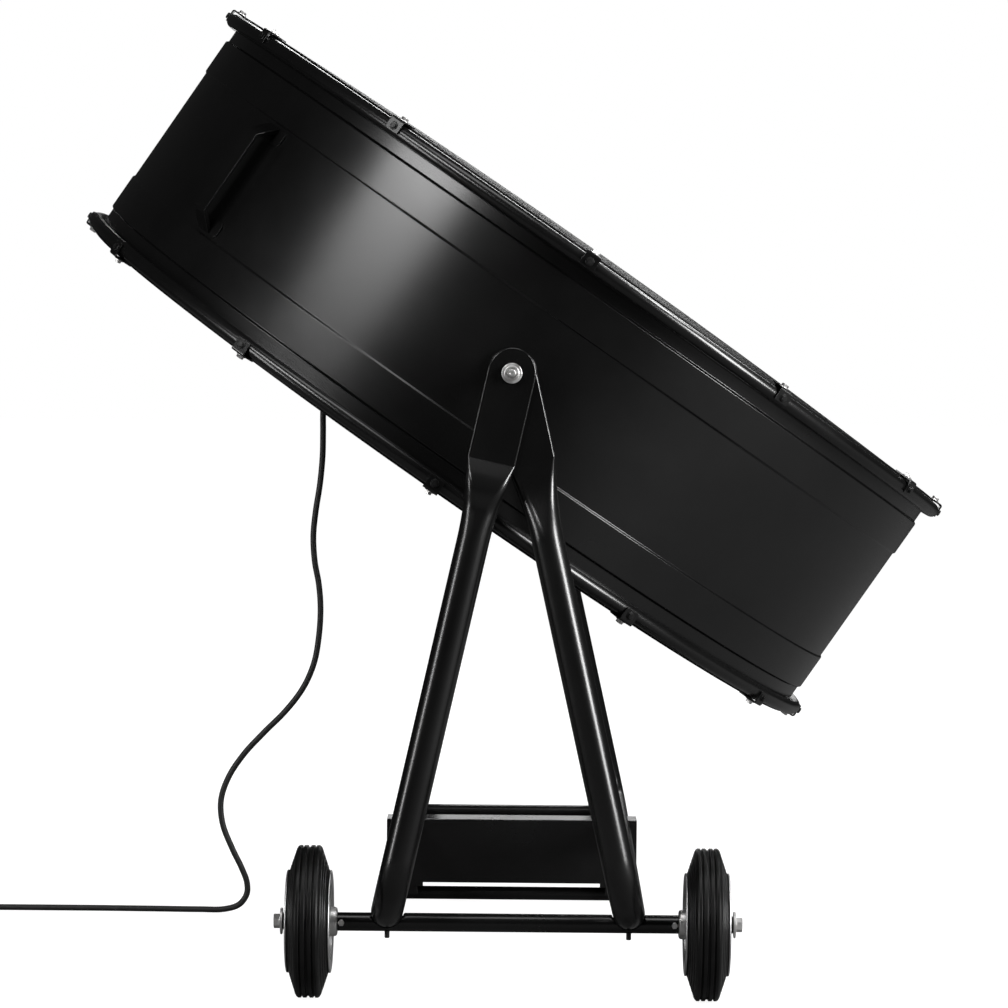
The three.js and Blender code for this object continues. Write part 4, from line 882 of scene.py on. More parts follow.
GUARD_WIRE = 4
RIM_WIRE = 5
RIM_INSET = 7
GUARD_RISE = 13.5
GUARD_RINGS = 23
GUARD_SPOKES = 24
GUARD_TURN = 7.5
CENTRE_DISC = 62
DISC_FLAT = 40                  # the disc lies on the wires at this radius
DISC_PROFILE = [
    (0, 0), (59, 0), (CENTRE_DISC, -1.2), (CENTRE_DISC, 0.2), (59, 2), (46, 2), (43, 1.2),
    (DISC_FLAT, 2), (0, 2),
]
GUARD_INNER = CENTRE_DISC - 4
CLIPS = 12
CLIP_INWARD = 15
CLIP_TAB = 16
CLIP_WIDTH = 20
CLIP_THICK = 2
CLIP_BENDS = [0.6, 1.6, 0.6, 0.6, 3.6, 0.6]
CLIP_SCREW = (2.6, 3.2, 8, 6.2, 1.0)
CLIP_SCREW_INSET = 1
CLIP_NUT = (2.4, 2.6, 7, 5.2, 0.8)
CLIP_NUT_DROP = 9
RIM_RADIUS = RING_RADIUS - RIM_INSET
RIM_SEAT = RING_TUBE / 2 + RIM_WIRE / 2 + TOUCH
RIM_HEIGHT = RING_PLACE + math.sqrt(RIM_SEAT ** 2 - RIM_INSET ** 2)
CLIP_SEAT = RIM_HEIGHT + RIM_WIRE / 2 - 0.4
CLIP_OUTSIDE = RING_RADIUS + RING_TUBE / 2 + TOUCH


def clip_shape():
    """A strap over the rim wire that is bent down over the outside of the end ring."""
    top = CLIP_SEAT + CLIP_THICK
    outline = [
        (RING_RADIUS - CLIP_INWARD, CLIP_SEAT), (CLIP_OUTSIDE, CLIP_SEAT),
        (CLIP_OUTSIDE, CLIP_SEAT - CLIP_TAB), (CLIP_OUTSIDE + CLIP_THICK, CLIP_SEAT - CLIP_TAB),
        (CLIP_OUTSIDE + CLIP_THICK, top), (RING_RADIUS - CLIP_INWARD, top),
    ]
    bent = filleted(outline, CLIP_BENDS, 5)
    half = CLIP_WIDTH / 2
    return loft([[Vector((r, y, z)) for r, z in bent] for y in (-half, half)])


def guard_end(end, side):
    flip = turned_about("X", 0 if side > 0 else 180)
    place = DRUM @ flip
    sizes = {
        "Rim radius": RIM_RADIUS, "Rim height": RIM_HEIGHT, "Rise": GUARD_RISE,
        "Inner radius": GUARD_INNER, "Wire": GUARD_WIRE, "Round wires": GUARD_RINGS,
        "Spokes": GUARD_SPOKES, "Turn": math.radians(GUARD_TURN),
    }
    grown(f"{end}_guard_wires", GUARD, sizes, WIRE, "drum", [f"{end}_grille"], place, 60)
    section = [(RIM_RADIUS + x, RIM_HEIGHT + z) for x, z in circle(RIM_WIRE / 2, 12)]
    rim = lathe(section, DRUM_SIDES // 2, closed=True)
    make(f"{end}_guard_rim", rim, WIRE, "drum", place=place, crease=60)
    seat = RIM_HEIGHT + GUARD_RISE * (1 - (DISC_FLAT / RIM_RADIUS) ** 2) - GUARD_WIRE / 2
    disc = lathe(raised(DISC_PROFILE, seat), 96)
    make(f"{end}_guard_disc", disc, PAINT, "drum", place=place, crease=50)
    round_about(f"{end}_clips", clip_shape(), CLIPS, PAINT, "drum", place=place, edge=0.35)
    screw = shifted(screw_shape(*CLIP_SCREW), RING_RADIUS - CLIP_SCREW_INSET, 0, CLIP_SEAT + CLIP_THICK)
    aside = Matrix.Translation((CLIP_OUTSIDE + CLIP_THICK, 0, CLIP_SEAT - CLIP_NUT_DROP))
    side_nut = moved(screw_shape(*CLIP_NUT), aside @ turned_about("Y", 90))
    round_about(f"{end}_clip_screws", screw, CLIPS, ZINC, "drum", place=place)
    round_about(f"{end}_clip_nuts", side_nut, CLIPS, BLACK_STEEL, "drum", place=place)


GUARD = guard_tree()
guard_end("front", 1)
guard_end("rear", -1)

# ---------------------------------------------------------------- carrying handles

HANDLE_ANGLE = 138
HANDLE_GRIP = 113
HANDLE_SPAN = 153
HANDLE_HEIGHT = 27
HANDLE_STRAP = 24
HANDLE_THICK = 4
HANDLE_BENDS = [0.5, 0.5, 1, 5, 5, 1, 0.5, 0.5, 2, 2]
HANDLE_FOOT_WIDTH = 52
HANDLE_FOOT_LENGTH = 20
HANDLE_FOOT_THICK = 1.8
HANDLE_FOOT_CORNER = 4
HANDLE_FOOT_STEPS = 16
HANDLE_SEAT = DRUM_RADIUS + TOUCH


def handle_shape():
    """A bent strap with its ends turned out into feet, on a wall that faces +X."""
    foot, top, thick = HANDLE_SEAT + 2, HANDLE_SEAT + HANDLE_HEIGHT, HANDLE_THICK
    outline = [
        (HANDLE_SEAT, HANDLE_SPAN / 2 - thick), (HANDLE_SEAT, HANDLE_SPAN / 2), (foot, HANDLE_SPAN / 2),
        (top, HANDLE_GRIP / 2), (top, -HANDLE_GRIP / 2), (foot, -HANDLE_SPAN / 2),
        (HANDLE_SEAT, -HANDLE_SPAN / 2), (HANDLE_SEAT, thick - HANDLE_SPAN / 2),
        (top - thick, thick - HANDLE_GRIP / 2), (top - thick, HANDLE_GRIP / 2 - thick),
    ]
    bent = filleted(outline, HANDLE_BENDS, 5)
    half = HANDLE_STRAP / 2
    return loft([[Vector((r, y, z)) for r, z in bent] for y in (-half, half)])


def handle_foot_shape(end):
    """A plate that follows the wall under one end of the handle."""
    rings = []
    low, high = HANDLE_SPAN / 2 - HANDLE_FOOT_LENGTH, HANDLE_SPAN / 2
    outside = HANDLE_SEAT + HANDLE_FOOT_THICK
    for i in range(HANDLE_FOOT_STEPS + 1):
        along = (i / HANDLE_FOOT_STEPS - 0.5) * HANDLE_FOOT_WIDTH
        angle = along / DRUM_RADIUS
        past = max(0.0, abs(along) - HANDLE_FOOT_WIDTH / 2 + HANDLE_FOOT_CORNER)
        corner = HANDLE_FOOT_CORNER - math.sqrt(max(0.0, HANDLE_FOOT_CORNER ** 2 - past ** 2))
        section = [(HANDLE_SEAT, low + corner), (outside, low + corner), (outside, high - corner),
                   (HANDLE_SEAT, high - corner)]
        rings.append([Vector((radius * math.cos(angle), radius * math.sin(angle), end * z))
                      for radius, z in section])
    return loft(rings)


def add_handle(end, side):
    place = DRUM @ turned_about("Z", side * HANDLE_ANGLE)
    make(f"{end}_handle_strap", handle_shape(), PAINT, "drum", [f"handle_{end}"], place, edge=1.5)
    feet = joined(handle_foot_shape(1), handle_foot_shape(-1))
    make(f"{end}_handle_feet", feet, PAINT, "drum", place=place, edge=0.3)


add_handle("near", -1)
add_handle("far", 1)

# ---------------------------------------------------------------- stand

LEG_FLAT = 105
LEG_SHOULDER = 94
LEG_FLAT_THICK = 5
LEG_GIRTH = math.pi * LEG_TUBE  # pressing a tube flat keeps its girth
LEG_FLAT_HALF = (LEG_GIRTH - (math.pi - 2) * LEG_FLAT_THICK) / 4
CROSSING = 120                  # below the axis the loops no longer lie over each other
LEG_SIDES = 56
CROWN_STEPS = 12
SHOULDER_STEPS = 36
BEND_STEPS = 24
IN_PLANE = {1: 0.64, -1: 1}     # share of the shoulder at which a loop is back in its own plane
AXLE_HALF = 266.4
FAR_BAR_HALF = 160
BAR_EDGE = 1.5
BAR_STEPS = 200
BOLT_HEAD = 8.5
BOLT_STEM = 3
BOLT_EDGE = (0.6, 0.8)
BOLT_BRIM = 0.8
BOLT_DOME = 3.8
BOLT_LIFT = 1.2                 # from the tube's top to the underside of the head
BOLT_TAIL = 8
LEG_ANGLE = math.atan2(LEG_SPREAD, PIVOT_HEIGHT - LEG_RUN_HEIGHT)
LEG_LENGTH = math.hypot(LEG_SPREAD, PIVOT_HEIGHT - LEG_RUN_HEIGHT)


def leg_section(down):
    """Half width and half thickness of a leg: flat at the top, then opening out to its tube."""
    t = clamp((down - LEG_FLAT) / LEG_SHOULDER)
    width = mix(LEG_FLAT_HALF, LEG_TUBE / 2, math.sin(math.pi / 2 * t))
    return width, (LEG_GIRTH - 4 * width) / (2 * math.pi - 4)


def leg_shape(lean, side):
    """A tube loop: pressed flat at both tops, bent under each leg, straight along the floor."""
    down_line = Vector((lean * math.sin(LEG_ANGLE), 0, -math.cos(LEG_ANGLE)))
    across = Vector((math.cos(LEG_ANGLE), 0, lean * math.sin(LEG_ANGLE)))
    top = Vector((0, 0, PIVOT_HEIGHT))
    stations = []
    for i in range(1, CROWN_STEPS + 1):
        turn = math.pi / 2 * i / CROWN_STEPS
        stations.append((-LEG_FLAT_HALF * math.cos(turn), math.sin(turn)))
    stations += [(LEG_FLAT * 0.5, 1), (LEG_FLAT - 1, 1)]
    for i in range(SHOULDER_STEPS + 1):
        stations.append((LEG_FLAT + LEG_SHOULDER * (i / SHOULDER_STEPS) ** 1.5, 1))
    stations += [(mix(LEG_FLAT + LEG_SHOULDER, LEG_LENGTH - LEG_BEND, i / 4), 1) for i in (1, 2, 3)]
    in_plane = LEG_FLAT + LEG_SHOULDER * IN_PLANE[side]
    rings = []
    for down, narrow in stations:
        width, thick = leg_section(down)
        aside = side * (thick + TOUCH / 2) * ease((in_plane - down) / (in_plane - CROSSING))
        centre = top + down_line * down + Vector((0, -LEG_PLANE - aside, 0))
        ring = []
        for x, y in circle(thick, LEG_SIDES, math.pi / LEG_SIDES):
            spread = (math.copysign(width - thick, x) + x) * narrow
            ring.append(centre + across * spread + Vector((0, -y, 0)))
        rings.append(ring)
    section = circle(LEG_TUBE / 2, LEG_SIDES, math.pi / LEG_SIDES)
    for i in range(BEND_STEPS + 1):
        turn = math.pi / 2 * i / BEND_STEPS
        out = Vector((0, -math.cos(turn), 0)) + down_line * math.sin(turn)
        y = -LEG_PLANE + LEG_BEND * (1 - math.cos(turn))
        down = LEG_LENGTH - LEG_BEND + LEG_BEND * math.sin(turn)
        centre = top + down_line * down + Vector((0, y, 0))
        rings.append([centre + across * x + out * z for x, z in section])
    other = [[Vector((p.x, -p.y, p.z)) for p in ring] for ring in reversed(rings)]
    return loft(rings + other)


def cross_tube_shape(half_length, y):
    """A tube with its ends eased in, crushed where each loop lies on it."""
    saddle = LEG_TUBE / 2 + TOUCH
    rings = []
    for i in range(BAR_STEPS + 1):
        x = half_length * (2 * i / BAR_STEPS - 1)
        short = BAR_EDGE - clamp(half_length - abs(x), 0, BAR_EDGE)
        radius = CROSS_TUBE / 2 - BAR_EDGE + math.sqrt(BAR_EDGE ** 2 - short ** 2)
        off = abs(abs(x) - LEG_SPREAD)
        roof = LEG_RUN_HEIGHT - math.sqrt(saddle ** 2 - off ** 2) if off < saddle else math.inf
        rings.append([Vector((x, y + a, min(CROSS_HEIGHT + b, roof))) for a, b in circle(radius, 40)])
    return loft(rings)


def bolt_shape(seat, tail):
    """A domed bolt down through a loop and its cross tube."""
    dome = []
    for degrees in range(0, 90, 15):
        angle = math.radians(degrees)
        dome.append((BOLT_HEAD * math.cos(angle), seat + BOLT_BRIM + BOLT_DOME * math.sin(angle)))
    stem = [(0, tail), (BOLT_STEM - BOLT_EDGE[0], tail), (BOLT_STEM, tail + BOLT_EDGE[1]),
            (BOLT_STEM, seat), (BOLT_HEAD, seat)]
    return lathe([*stem, *dome, (0, seat + BOLT_BRIM + BOLT_DOME)], 24)


def add_stand():
    for name, lean, side in (("left", -1, 1), ("right", 1, -1)):
        make(f"{name}_leg_loop", leg_shape(lean, side), PAINT, "stand", [f"leg_loop_{name}"], crease=40)
    for name, node, y, half in (("axle_bar", "axle_tube", -CROSS_PLACE, AXLE_HALF),
                                ("far_bar", "far_crossbar", CROSS_PLACE, FAR_BAR_HALF)):
        make(name, cross_tube_shape(half, y), PAINT, "stand", [node], crease=40)
    seat = LEG_RUN_HEIGHT + LEG_TUBE / 2 + BOLT_LIFT
    tail = CROSS_HEIGHT - CROSS_TUBE / 2 - BOLT_TAIL
    for end, y in (("near", -CROSS_PLACE), ("far", CROSS_PLACE)):
        for name, lean in (("left", -1), ("right", 1)):
            shape = shifted(bolt_shape(seat, tail), lean * LEG_SPREAD, y)
            make(f"{end}_{name}_frame_bolt", shape, BLACK_STEEL, "stand", [f"frame_bolt_{end}_{name}"])


add_stand()

# ---------------------------------------------------------------- foot

FOOT_LENGTH = 342
FOOT_DEPTH = 54
FOOT_TOP = 115
FOOT_BOTTOM = 22.5
FOOT_SHEET = 2.5
FOOT_BENDS = [0.5, 0.5, 1, 1, 0.5, 0.5, 3.5, 3.5]
SLOT_HALF = 121
SLOT_HEIGHT = 5.5
RAIL = 18
RAIL_HEIGHT = 1.2 + RAIL / 2
RAIL_END = [(1.5, 0), (0.4, 0.5), (0, 1.5)]     # (drop from its radius, distance from its end)
BRACKET_SPACING = 136
BRACKET_WIDTH = 15
BRACKET_HEIGHT = 46
PAD_SIZE = (22, 26, 23)
PAD_PROUD = 1                   # past the channel's end


def add_foot():
    half, inner = FOOT_DEPTH / 2, FOOT_DEPTH / 2 - FOOT_SHEET
    outline = [
        (-half, FOOT_BOTTOM), (-inner, FOOT_BOTTOM), (-inner, FOOT_TOP - FOOT_SHEET),
        (inner, FOOT_TOP - FOOT_SHEET), (inner, FOOT_BOTTOM), (half, FOOT_BOTTOM),
        (half, FOOT_TOP), (-half, FOOT_TOP),
    ]
    bent = filleted(outline, FOOT_BENDS, 5)
    end = FOOT_LENGTH / 2
    channel = loft([[Vector((x, FOOT_PLACE + y, z)) for y, z in bent] for x in (-end, end)])
    cuts = []
    for lean in (-1, 1):
        across = Matrix.Translation((lean * LEG_SPREAD, FOOT_PLACE, LEG_RUN_HEIGHT)) @ turned_about("X", 90)
        cuts.append(moved(bore_shape(LEG_TUBE / 2 + TOUCH, FOOT_DEPTH, 48), across))
    cuts.append(block((-SLOT_HALF, SLOT_HALF), (FOOT_PLACE - FOOT_DEPTH, FOOT_PLACE + FOOT_DEPTH),
                      (FOOT_BOTTOM - SLOT_HEIGHT, FOOT_BOTTOM + SLOT_HEIGHT)))
    make("foot_channel", channel, PAINT, "stand", ["foot_panel"], edge=0.5, cuts=cuts)
    edge = [(RAIL / 2 - drop, end - reach) for drop, reach in RAIL_END]
    profile = [(0, -end), *[(r, -x) for r, x in edge], *reversed(edge), (0, end)]
    along = Matrix.Translation((0, FOOT_PLACE, RAIL_HEIGHT)) @ turned_about("Y", 90)
    make("foot_bar", moved(lathe(profile, 40), along), PAINT, "stand", ["foot_rail"])
    hole = moved(bore_shape(RAIL / 2 + TOUCH, FOOT_LENGTH, 40), along)
    deep = inner - TOUCH
    for name, lean in (("left", -1), ("right", 1)):
        x = lean * BRACKET_SPACING
        body = block((x - BRACKET_WIDTH / 2, x + BRACKET_WIDTH / 2), (FOOT_PLACE - deep, FOOT_PLACE + deep),
                     (RAIL_HEIGHT, RAIL_HEIGHT + BRACKET_HEIGHT))
        make(f"{name}_foot_bracket", body, PAINT, "stand", [f"foot_bracket_{name}"], edge=1.2, cuts=[hole])
        x = lean * (end - PAD_SIZE[0] / 2 + PAD_PROUD)
        body = block((x - PAD_SIZE[0] / 2, x + PAD_SIZE[0] / 2),
                     (FOOT_PLACE - PAD_SIZE[1] / 2, FOOT_PLACE + PAD_SIZE[1] / 2), (0, PAD_SIZE[2]))
        make(f"{name}_foot_pad", body, PAD, "stand", [f"foot_pad_{name}"], edge=0.6, cuts=[hole])


add_foot()

# ---------------------------------------------------------------- wheels

# A wheel's profiles are (radius, distance from the wheel's middle).
TYRE_SECTION = [
    (50, 22), (52, 24), (60, 24), (62.5, 22.6), (66.5, 21.6), (67.5, 19.6), (68.5, 20.8), (73, 19.4),
    (74, 17.4), (75, 18.6), (79.5, 17.2), (80.5, 15.2), (81.5, 16.4), (86, 15), (88.5, 13.6), (90, 11.8),
    (90, 8.6), (88, 7.8), (88, 6.8), (90, 6), (90, 2), (88, 1.2),
]
HUB_RADIUS = 17.5
DISC_HALF = 2
RIM_DISC = [(HUB_RADIUS + TOUCH, 0), (24, 0), (28, 3), (38, 3), (42, 0)]
RIM_BARREL = [(45.7, 2), (45.7, 25.6), (58, 26.7), (60.6, 26.2), (61, 24.4), (49.2, 24.3)]
HUB_INSIDE = -33.4
HUB_PROFILE = [
    (11.3, HUB_INSIDE), (14.5, HUB_INSIDE), (16.5, -32.6), (HUB_RADIUS, -30.4), (HUB_RADIUS, -24.4),
    (16, -23.4), (16, 20.2), (HUB_RADIUS, 21.2), (HUB_RADIUS, 26.2), (15.5, 28.2), (11.3, 28.2),
]
WASHER_THICK = 2.6
WASHER_PROFILE = [(0, 0), (15.2, 0), (15.8, 0.5), (15.8, 2.1), (15.2, WASHER_THICK), (0, WASHER_THICK)]
AXLE_BOLT = (2.2, 6.6, 15, 8.4, 1.1)
LOCK_BOLT = (1.6, 2.6, 6.6, 3.6, 0.6)
LOCK_GAP = 4.6                  # from the hub's end to the bolt's middle
LOCK_LIFT = 0.1


def on_axle(profile, sides, lean, closed=True):
    """A turned piece on the axle; its profile is (radius, reach from the middle of the fan)."""
    place = Matrix.Translation((0, -CROSS_PLACE, CROSS_HEIGHT)) @ turned_about("Y", 90 * lean)
    return moved(lathe(profile, sides, closed), place)


def mirrored(half):
    """A closed profile from its half on the far side of the wheel's middle."""
    return [(r, -x) for r, x in half] + half[::-1]


def rim_profile():
    inner = [(r, x - DISC_HALF) for r, x in RIM_DISC] + [(r, -x) for r, x in RIM_BARREL]
    outer = [(r, x + DISC_HALF) for r, x in RIM_DISC] + RIM_BARREL
    return inner + outer[::-1]


def add_wheel(name, lean):
    body = f"wheel_{name}"
    tyre = filleted(raised(mirrored(TYRE_SECTION), WHEEL_PLACE), 0.7, 2)
    make(f"{name}_tyre_ribbed", on_axle(tyre, 128, lean), TYRE, body, [f"tyre_{name}"], crease=50)
    rim = filleted(raised(rim_profile(), WHEEL_PLACE), 1.2, 3)
    make(f"{name}_rim_pressed", on_axle(rim, 96, lean), RIM, body, [f"rim_{name}"], crease=40)
    hub = raised(HUB_PROFILE, WHEEL_PLACE)
    make(f"{name}_hub_sleeve", on_axle(hub, 64, lean), ZINC, body, [f"hub_{name}"])
    end = AXLE_HALF + TOUCH
    washer = on_axle(raised(WASHER_PROFILE, end), 48, lean, closed=False)
    make(f"{name}_axle_washer", washer, ZINC, "stand", [f"axle_end_washer_{name}"])
    x = lean * (end + WASHER_THICK + TOUCH)
    place = Matrix.Translation((x, -CROSS_PLACE, CROSS_HEIGHT)) @ turned_about("Y", 90 * lean)
    head = moved(screw_shape(*AXLE_BOLT), place)
    make(f"{name}_axle_bolt", head, ZINC, "stand", [f"axle_end_bolt_{name}"], crease=25)
    x = lean * (WHEEL_PLACE + HUB_INSIDE - LOCK_GAP - TOUCH)
    near = -CROSS_PLACE - CROSS_TUBE / 2 - LOCK_LIFT
    place = Matrix.Translation((x, near, CROSS_HEIGHT)) @ turned_about("X", 90)
    small = moved(screw_shape(*LOCK_BOLT), place)
    make(f"{name}_lock_bolt", small, ZINC, "stand", [f"axle_lock_bolt_{name}"], crease=25)


add_wheel("left", -1)
add_wheel("right", 1)

# ---------------------------------------------------------------- pivots

PLATES_INSIDE = LEG_PLANE - LEG_FLAT_THICK - TOUCH / 2
PLATES_OUTSIDE = LEG_PLANE + LEG_FLAT_THICK + TOUCH / 2


PIVOT_BORE = 5.4
SPACER_FOOT = 29
SPACER_NECK = 16
SPACER_BENDS = [0.2, 0.8, 2, 6, 0.8, 0.2]
NUT_HEIGHT = 9
NUT_PROFILE = [
    (PIVOT_BORE, 0), (12, 0), (12, 2.2), (8.8, 2.6), (8.8, NUT_HEIGHT), (6.6, NUT_HEIGHT), (6.6, 7.8),
    (PIVOT_BORE, 7.8),
]
NUT_BENDS = [0.1, 0.5, 0.9, 0.5, 1.5, 0.4, 0.3, 0.2]
PIVOT_GAP = 1.6                 # between the drum's wall and the bolt's head inside it
PIVOT_HEAD_PROFILE = [(0, -6.5), (8.5, -6.5), (9.5, -5.5), (9.5, 0), (5, 0)]
PIVOT_END_PROFILE = [(5, -1.2), (3.9, 0), (2.2, 0), (1.6, -0.9), (0, -1.1)]
PIVOT_PAST_NUT = 2


def add_pivot(name, side):
    place = Matrix.Translation((0, 0, PIVOT_HEIGHT)) @ turned_about("X", -90 * side)
    low, high = DRUM_RADIUS + TOUCH, PLATES_INSIDE - TOUCH
    spacer = [(PIVOT_BORE, low), (SPACER_FOOT, low), (SPACER_FOOT, low + 5), (SPACER_NECK, low + 10),
              (SPACER_NECK, high), (PIVOT_BORE, high)]
    shape = moved(lathe(filleted(spacer, SPACER_BENDS, 4), 72, True), place)
    make(f"{name}_spacer_turned", shape, PAINT, "drum", [f"pivot_spacer_{name}"])
    seat = PLATES_OUTSIDE + TOUCH
    nut = filleted(raised(NUT_PROFILE, seat), NUT_BENDS, 4)
    shape = moved(lathe(nut, 64, True), place)
    make(f"{name}_flange_nut", shape, ZINC, "drum", [f"pivot_nut_{name}"], crease=50)
    start = DRUM_RADIUS - DRUM_WALL - PIVOT_GAP
    tail = seat + NUT_HEIGHT + PIVOT_PAST_NUT
    bolt = lathe(raised(PIVOT_HEAD_PROFILE, start) + raised(PIVOT_END_PROFILE, tail), 40)
    make(f"{name}_pivot_bolt_turned", moved(bolt, place), ZINC, "drum", [f"pivot_bolt_{name}"], crease=30)


add_pivot("near", -1)
add_pivot("far", 1)

# ---------------------------------------------------------------- motor on its struts

STRUT_PLACE = 104
STRUT_WIDTH = 24
STRUT_DEPTH = 20
STRUT_WALL = 2
STRUT_AXIAL = -70
STRUT_FRONT = STRUT_AXIAL + STRUT_DEPTH / 2
STRUT_REAR = STRUT_AXIAL - STRUT_DEPTH / 2
PLATE_THICK = 4
PLATE_LENGTH = 190
PLATE_WIDTH = 2 * STRUT_PLACE + STRUT_WIDTH
STRUT_GAP = 2.2                 # between the drum's wall and a strut's end
PLATE_BORE_GAP = 0.6
PLATE_BOLT = (2.4, 4.5, 10, 8.5, 1.2)
PLATE_BOLT_PLACE = 80
MOTOR_RADIUS = 84
MOTOR_CORE = 79
MOTOR_REAR = -122
MOTOR_FRONT = -26
FINS = 40
FIN_BOX = ((MOTOR_CORE - 1, MOTOR_RADIUS - 0.6), (-1.5, 1.5), (MOTOR_REAR + 3, MOTOR_FRONT - 3))
COVER_FRONT = MOTOR_FRONT + TOUCH
COVER_REAR = MOTOR_REAR - TOUCH
FRONT_COVER = [(9.8, 0), (79, 0), (79, 3), (72, 8), (34, 9), (30, 13.6), (9.8, 13.6)]
FRONT_COVER_BENDS = [0.3, 0.8, 2, 4, 5, 2, 0.3]
REAR_COVER = [(0, -14), (38, -14), (74, -8), (79, -3), (79, 0), (0, 0)]
REAR_COVER_BENDS = [0.1, 5, 5, 2, 0.8, 0.1]
COVER_RIBS = 8
COVER_RIB_BOX = ((33, 69), (-1.6, 1.6), (COVER_FRONT + 4, COVER_FRONT + 11.4))
COVER_SCREWS = 4
COVER_SCREW = (2.2, 3, 7, 5, 0.8)
COVER_SCREW_PLACE = (70, 0, COVER_FRONT + 7.6)
SHAFT_PROFILE = [(0, -25), (9.5, -25), (9.5, 82.6), (8.1, 84), (0, 84)]


def add_struts():
    room = DRUM_RADIUS - DRUM_WALL - STRUT_GAP
    reach = math.sqrt(room ** 2 - (STRUT_PLACE + STRUT_WIDTH / 2) ** 2)
    outline = rounded_rectangle(STRUT_WIDTH, STRUT_DEPTH, 2.5, 4)
    hole = rounded_rectangle(STRUT_WIDTH - 2 * STRUT_WALL, STRUT_DEPTH - 2 * STRUT_WALL, 1.2, 4)
    for name, side in (("near", -1), ("far", 1)):
        rings = [[Vector((x, side * STRUT_PLACE + y, STRUT_AXIAL + z)) for y, z in section]
                 for section, x in ((outline, -reach), (outline, reach), (hole, reach), (hole, -reach))]
        make(f"{name}_strut_tube", loft(rings, closed=True), PAINT, "drum", [f"motor_strut_{name}"], DRUM)
    for end, low in (("front", STRUT_FRONT + TOUCH), ("rear", STRUT_REAR - TOUCH - PLATE_THICK)):
        plate = prism(rounded_rectangle(PLATE_LENGTH, PLATE_WIDTH, 12, 6), low, low + PLATE_THICK)
        bore = bore_shape(MOTOR_RADIUS + PLATE_BORE_GAP, 2 * PLATE_THICK, 96)
        bore = moved(shifted(bore, z=low + PLATE_THICK / 2), DRUM)
        name = f"{end}_motor_plate_cut"
        make(name, plate, PAINT, "drum", [f"motor_plate_{end}"], DRUM, edge=0.6, cuts=[bore])
    head = screw_shape(*PLATE_BOLT)
    bolts = []
    for x in (-PLATE_BOLT_PLACE, PLATE_BOLT_PLACE):
        for y in (-STRUT_PLACE, STRUT_PLACE):
            under = Matrix.Translation((x, y, STRUT_REAR - TOUCH - PLATE_THICK))
            bolts.append(shifted(head, x, y, STRUT_FRONT + TOUCH + PLATE_THICK))
            bolts.append(moved(head, under @ turned_about("X", 180)))
    make("motor_plate_bolts", joined(*bolts), ZINC, "drum", place=DRUM, crease=25)


def add_motor():
    core = [(0, MOTOR_REAR), (MOTOR_CORE, MOTOR_REAR), (MOTOR_CORE, MOTOR_FRONT), (0, MOTOR_FRONT)]
    can = lathe(filleted(core, 1.5, 3, closed=False), 96)
    make("motor_can", can, MOTOR_PAINT, "drum", ["motor_body"], DRUM)
    round_about("motor_fins", block(*FIN_BOX), FINS, MOTOR_PAINT, "drum", place=DRUM, edge=0.8)
    front = lathe(filleted(raised(FRONT_COVER, COVER_FRONT), FRONT_COVER_BENDS, 4), 96, True)
    make("motor_front_bell", front, CAST, "drum", ["motor_front_cover"], DRUM)
    rear = lathe(filleted(raised(REAR_COVER, COVER_REAR), REAR_COVER_BENDS, 4, closed=False), 96)
    make("motor_rear_bell", rear, CAST, "drum", ["motor_rear_cover"], DRUM)
    rib = block(*COVER_RIB_BOX)
    round_about("motor_front_ribs", rib, COVER_RIBS, CAST, "drum", place=DRUM, edge=0.9)
    screw = shifted(screw_shape(*COVER_SCREW), *COVER_SCREW_PLACE)
    round_about("motor_cover_screws", screw, COVER_SCREWS, ZINC, "drum", place=DRUM, turn=22.5)
    make("shaft_turned", lathe(SHAFT_PROFILE, 48), STEEL, "rotor", ["motor_shaft"], DRUM)


add_struts()
add_motor()

# ---------------------------------------------------------------- rotor

ROTOR_AXIAL = 38
BLADE_ROOT, BLADE_TIP = 80, 520
BLADE_CHORD = (150, 330)
BLADE_PITCH = (30, 15)
BLADE_CAMBER = 0.07
BLADE_THICK = 2.4
BLADE_SWEEP = 16
BLADE_STEPS = (48, 24)
CORNER_DRAW = 0.16              # how far the blade's ends are drawn in, as a share of the chord
CORNER_LENGTH = 0.12            # over this share of the blade's length
BLADES = 3
HUB_REAR = ROTOR_AXIAL - 25
BOSS_PROFILE = [(9.8, 0), (40, 0), (40, 12), (32, 16), (32, 50), (9.8, 50)]
BOSS_BENDS = [0.3, 1.5, 1.5, 4, 1.5, 0.3]
ARM_ROOT, ARM_TIP = 30, BLADE_ROOT + 72
ARM_SHARE = (0.25, 0.75)
ARM_THICK = 4
ARM_STEPS = (12, 8)
RIVET = (4.6, 2.2)
RIVET_RADII = (96, 122, 146)
RIVET_SHARES = (0.33, 0.5, 0.67)
SET_SCREW = (1.8, 4, 8, 4.8, 0.6)
SET_SCREW_PLACE = (32, 0, HUB_REAR + 36)


def on_blade(radius, s, lift):
    """A point of a blade's sheet: s runs over the chord, lift is off its middle."""
    t = (radius - BLADE_ROOT) / (BLADE_TIP - BLADE_ROOT)
    chord = mix(*BLADE_CHORD, math.sin(t * math.pi / 2))
    pitch = math.radians(mix(*BLADE_PITCH, t))
    along = chord * (s - 0.5)
    bulge = 4 * BLADE_CAMBER * chord * s * (1 - s) + lift
    turn = math.radians(BLADE_SWEEP * t * t) + (along * math.cos(pitch) - bulge * math.sin(pitch)) / radius
    height = ROTOR_AXIAL + along * math.sin(pitch) + bulge * math.cos(pitch)
    return Vector((radius * math.cos(turn), radius * math.sin(turn), height))


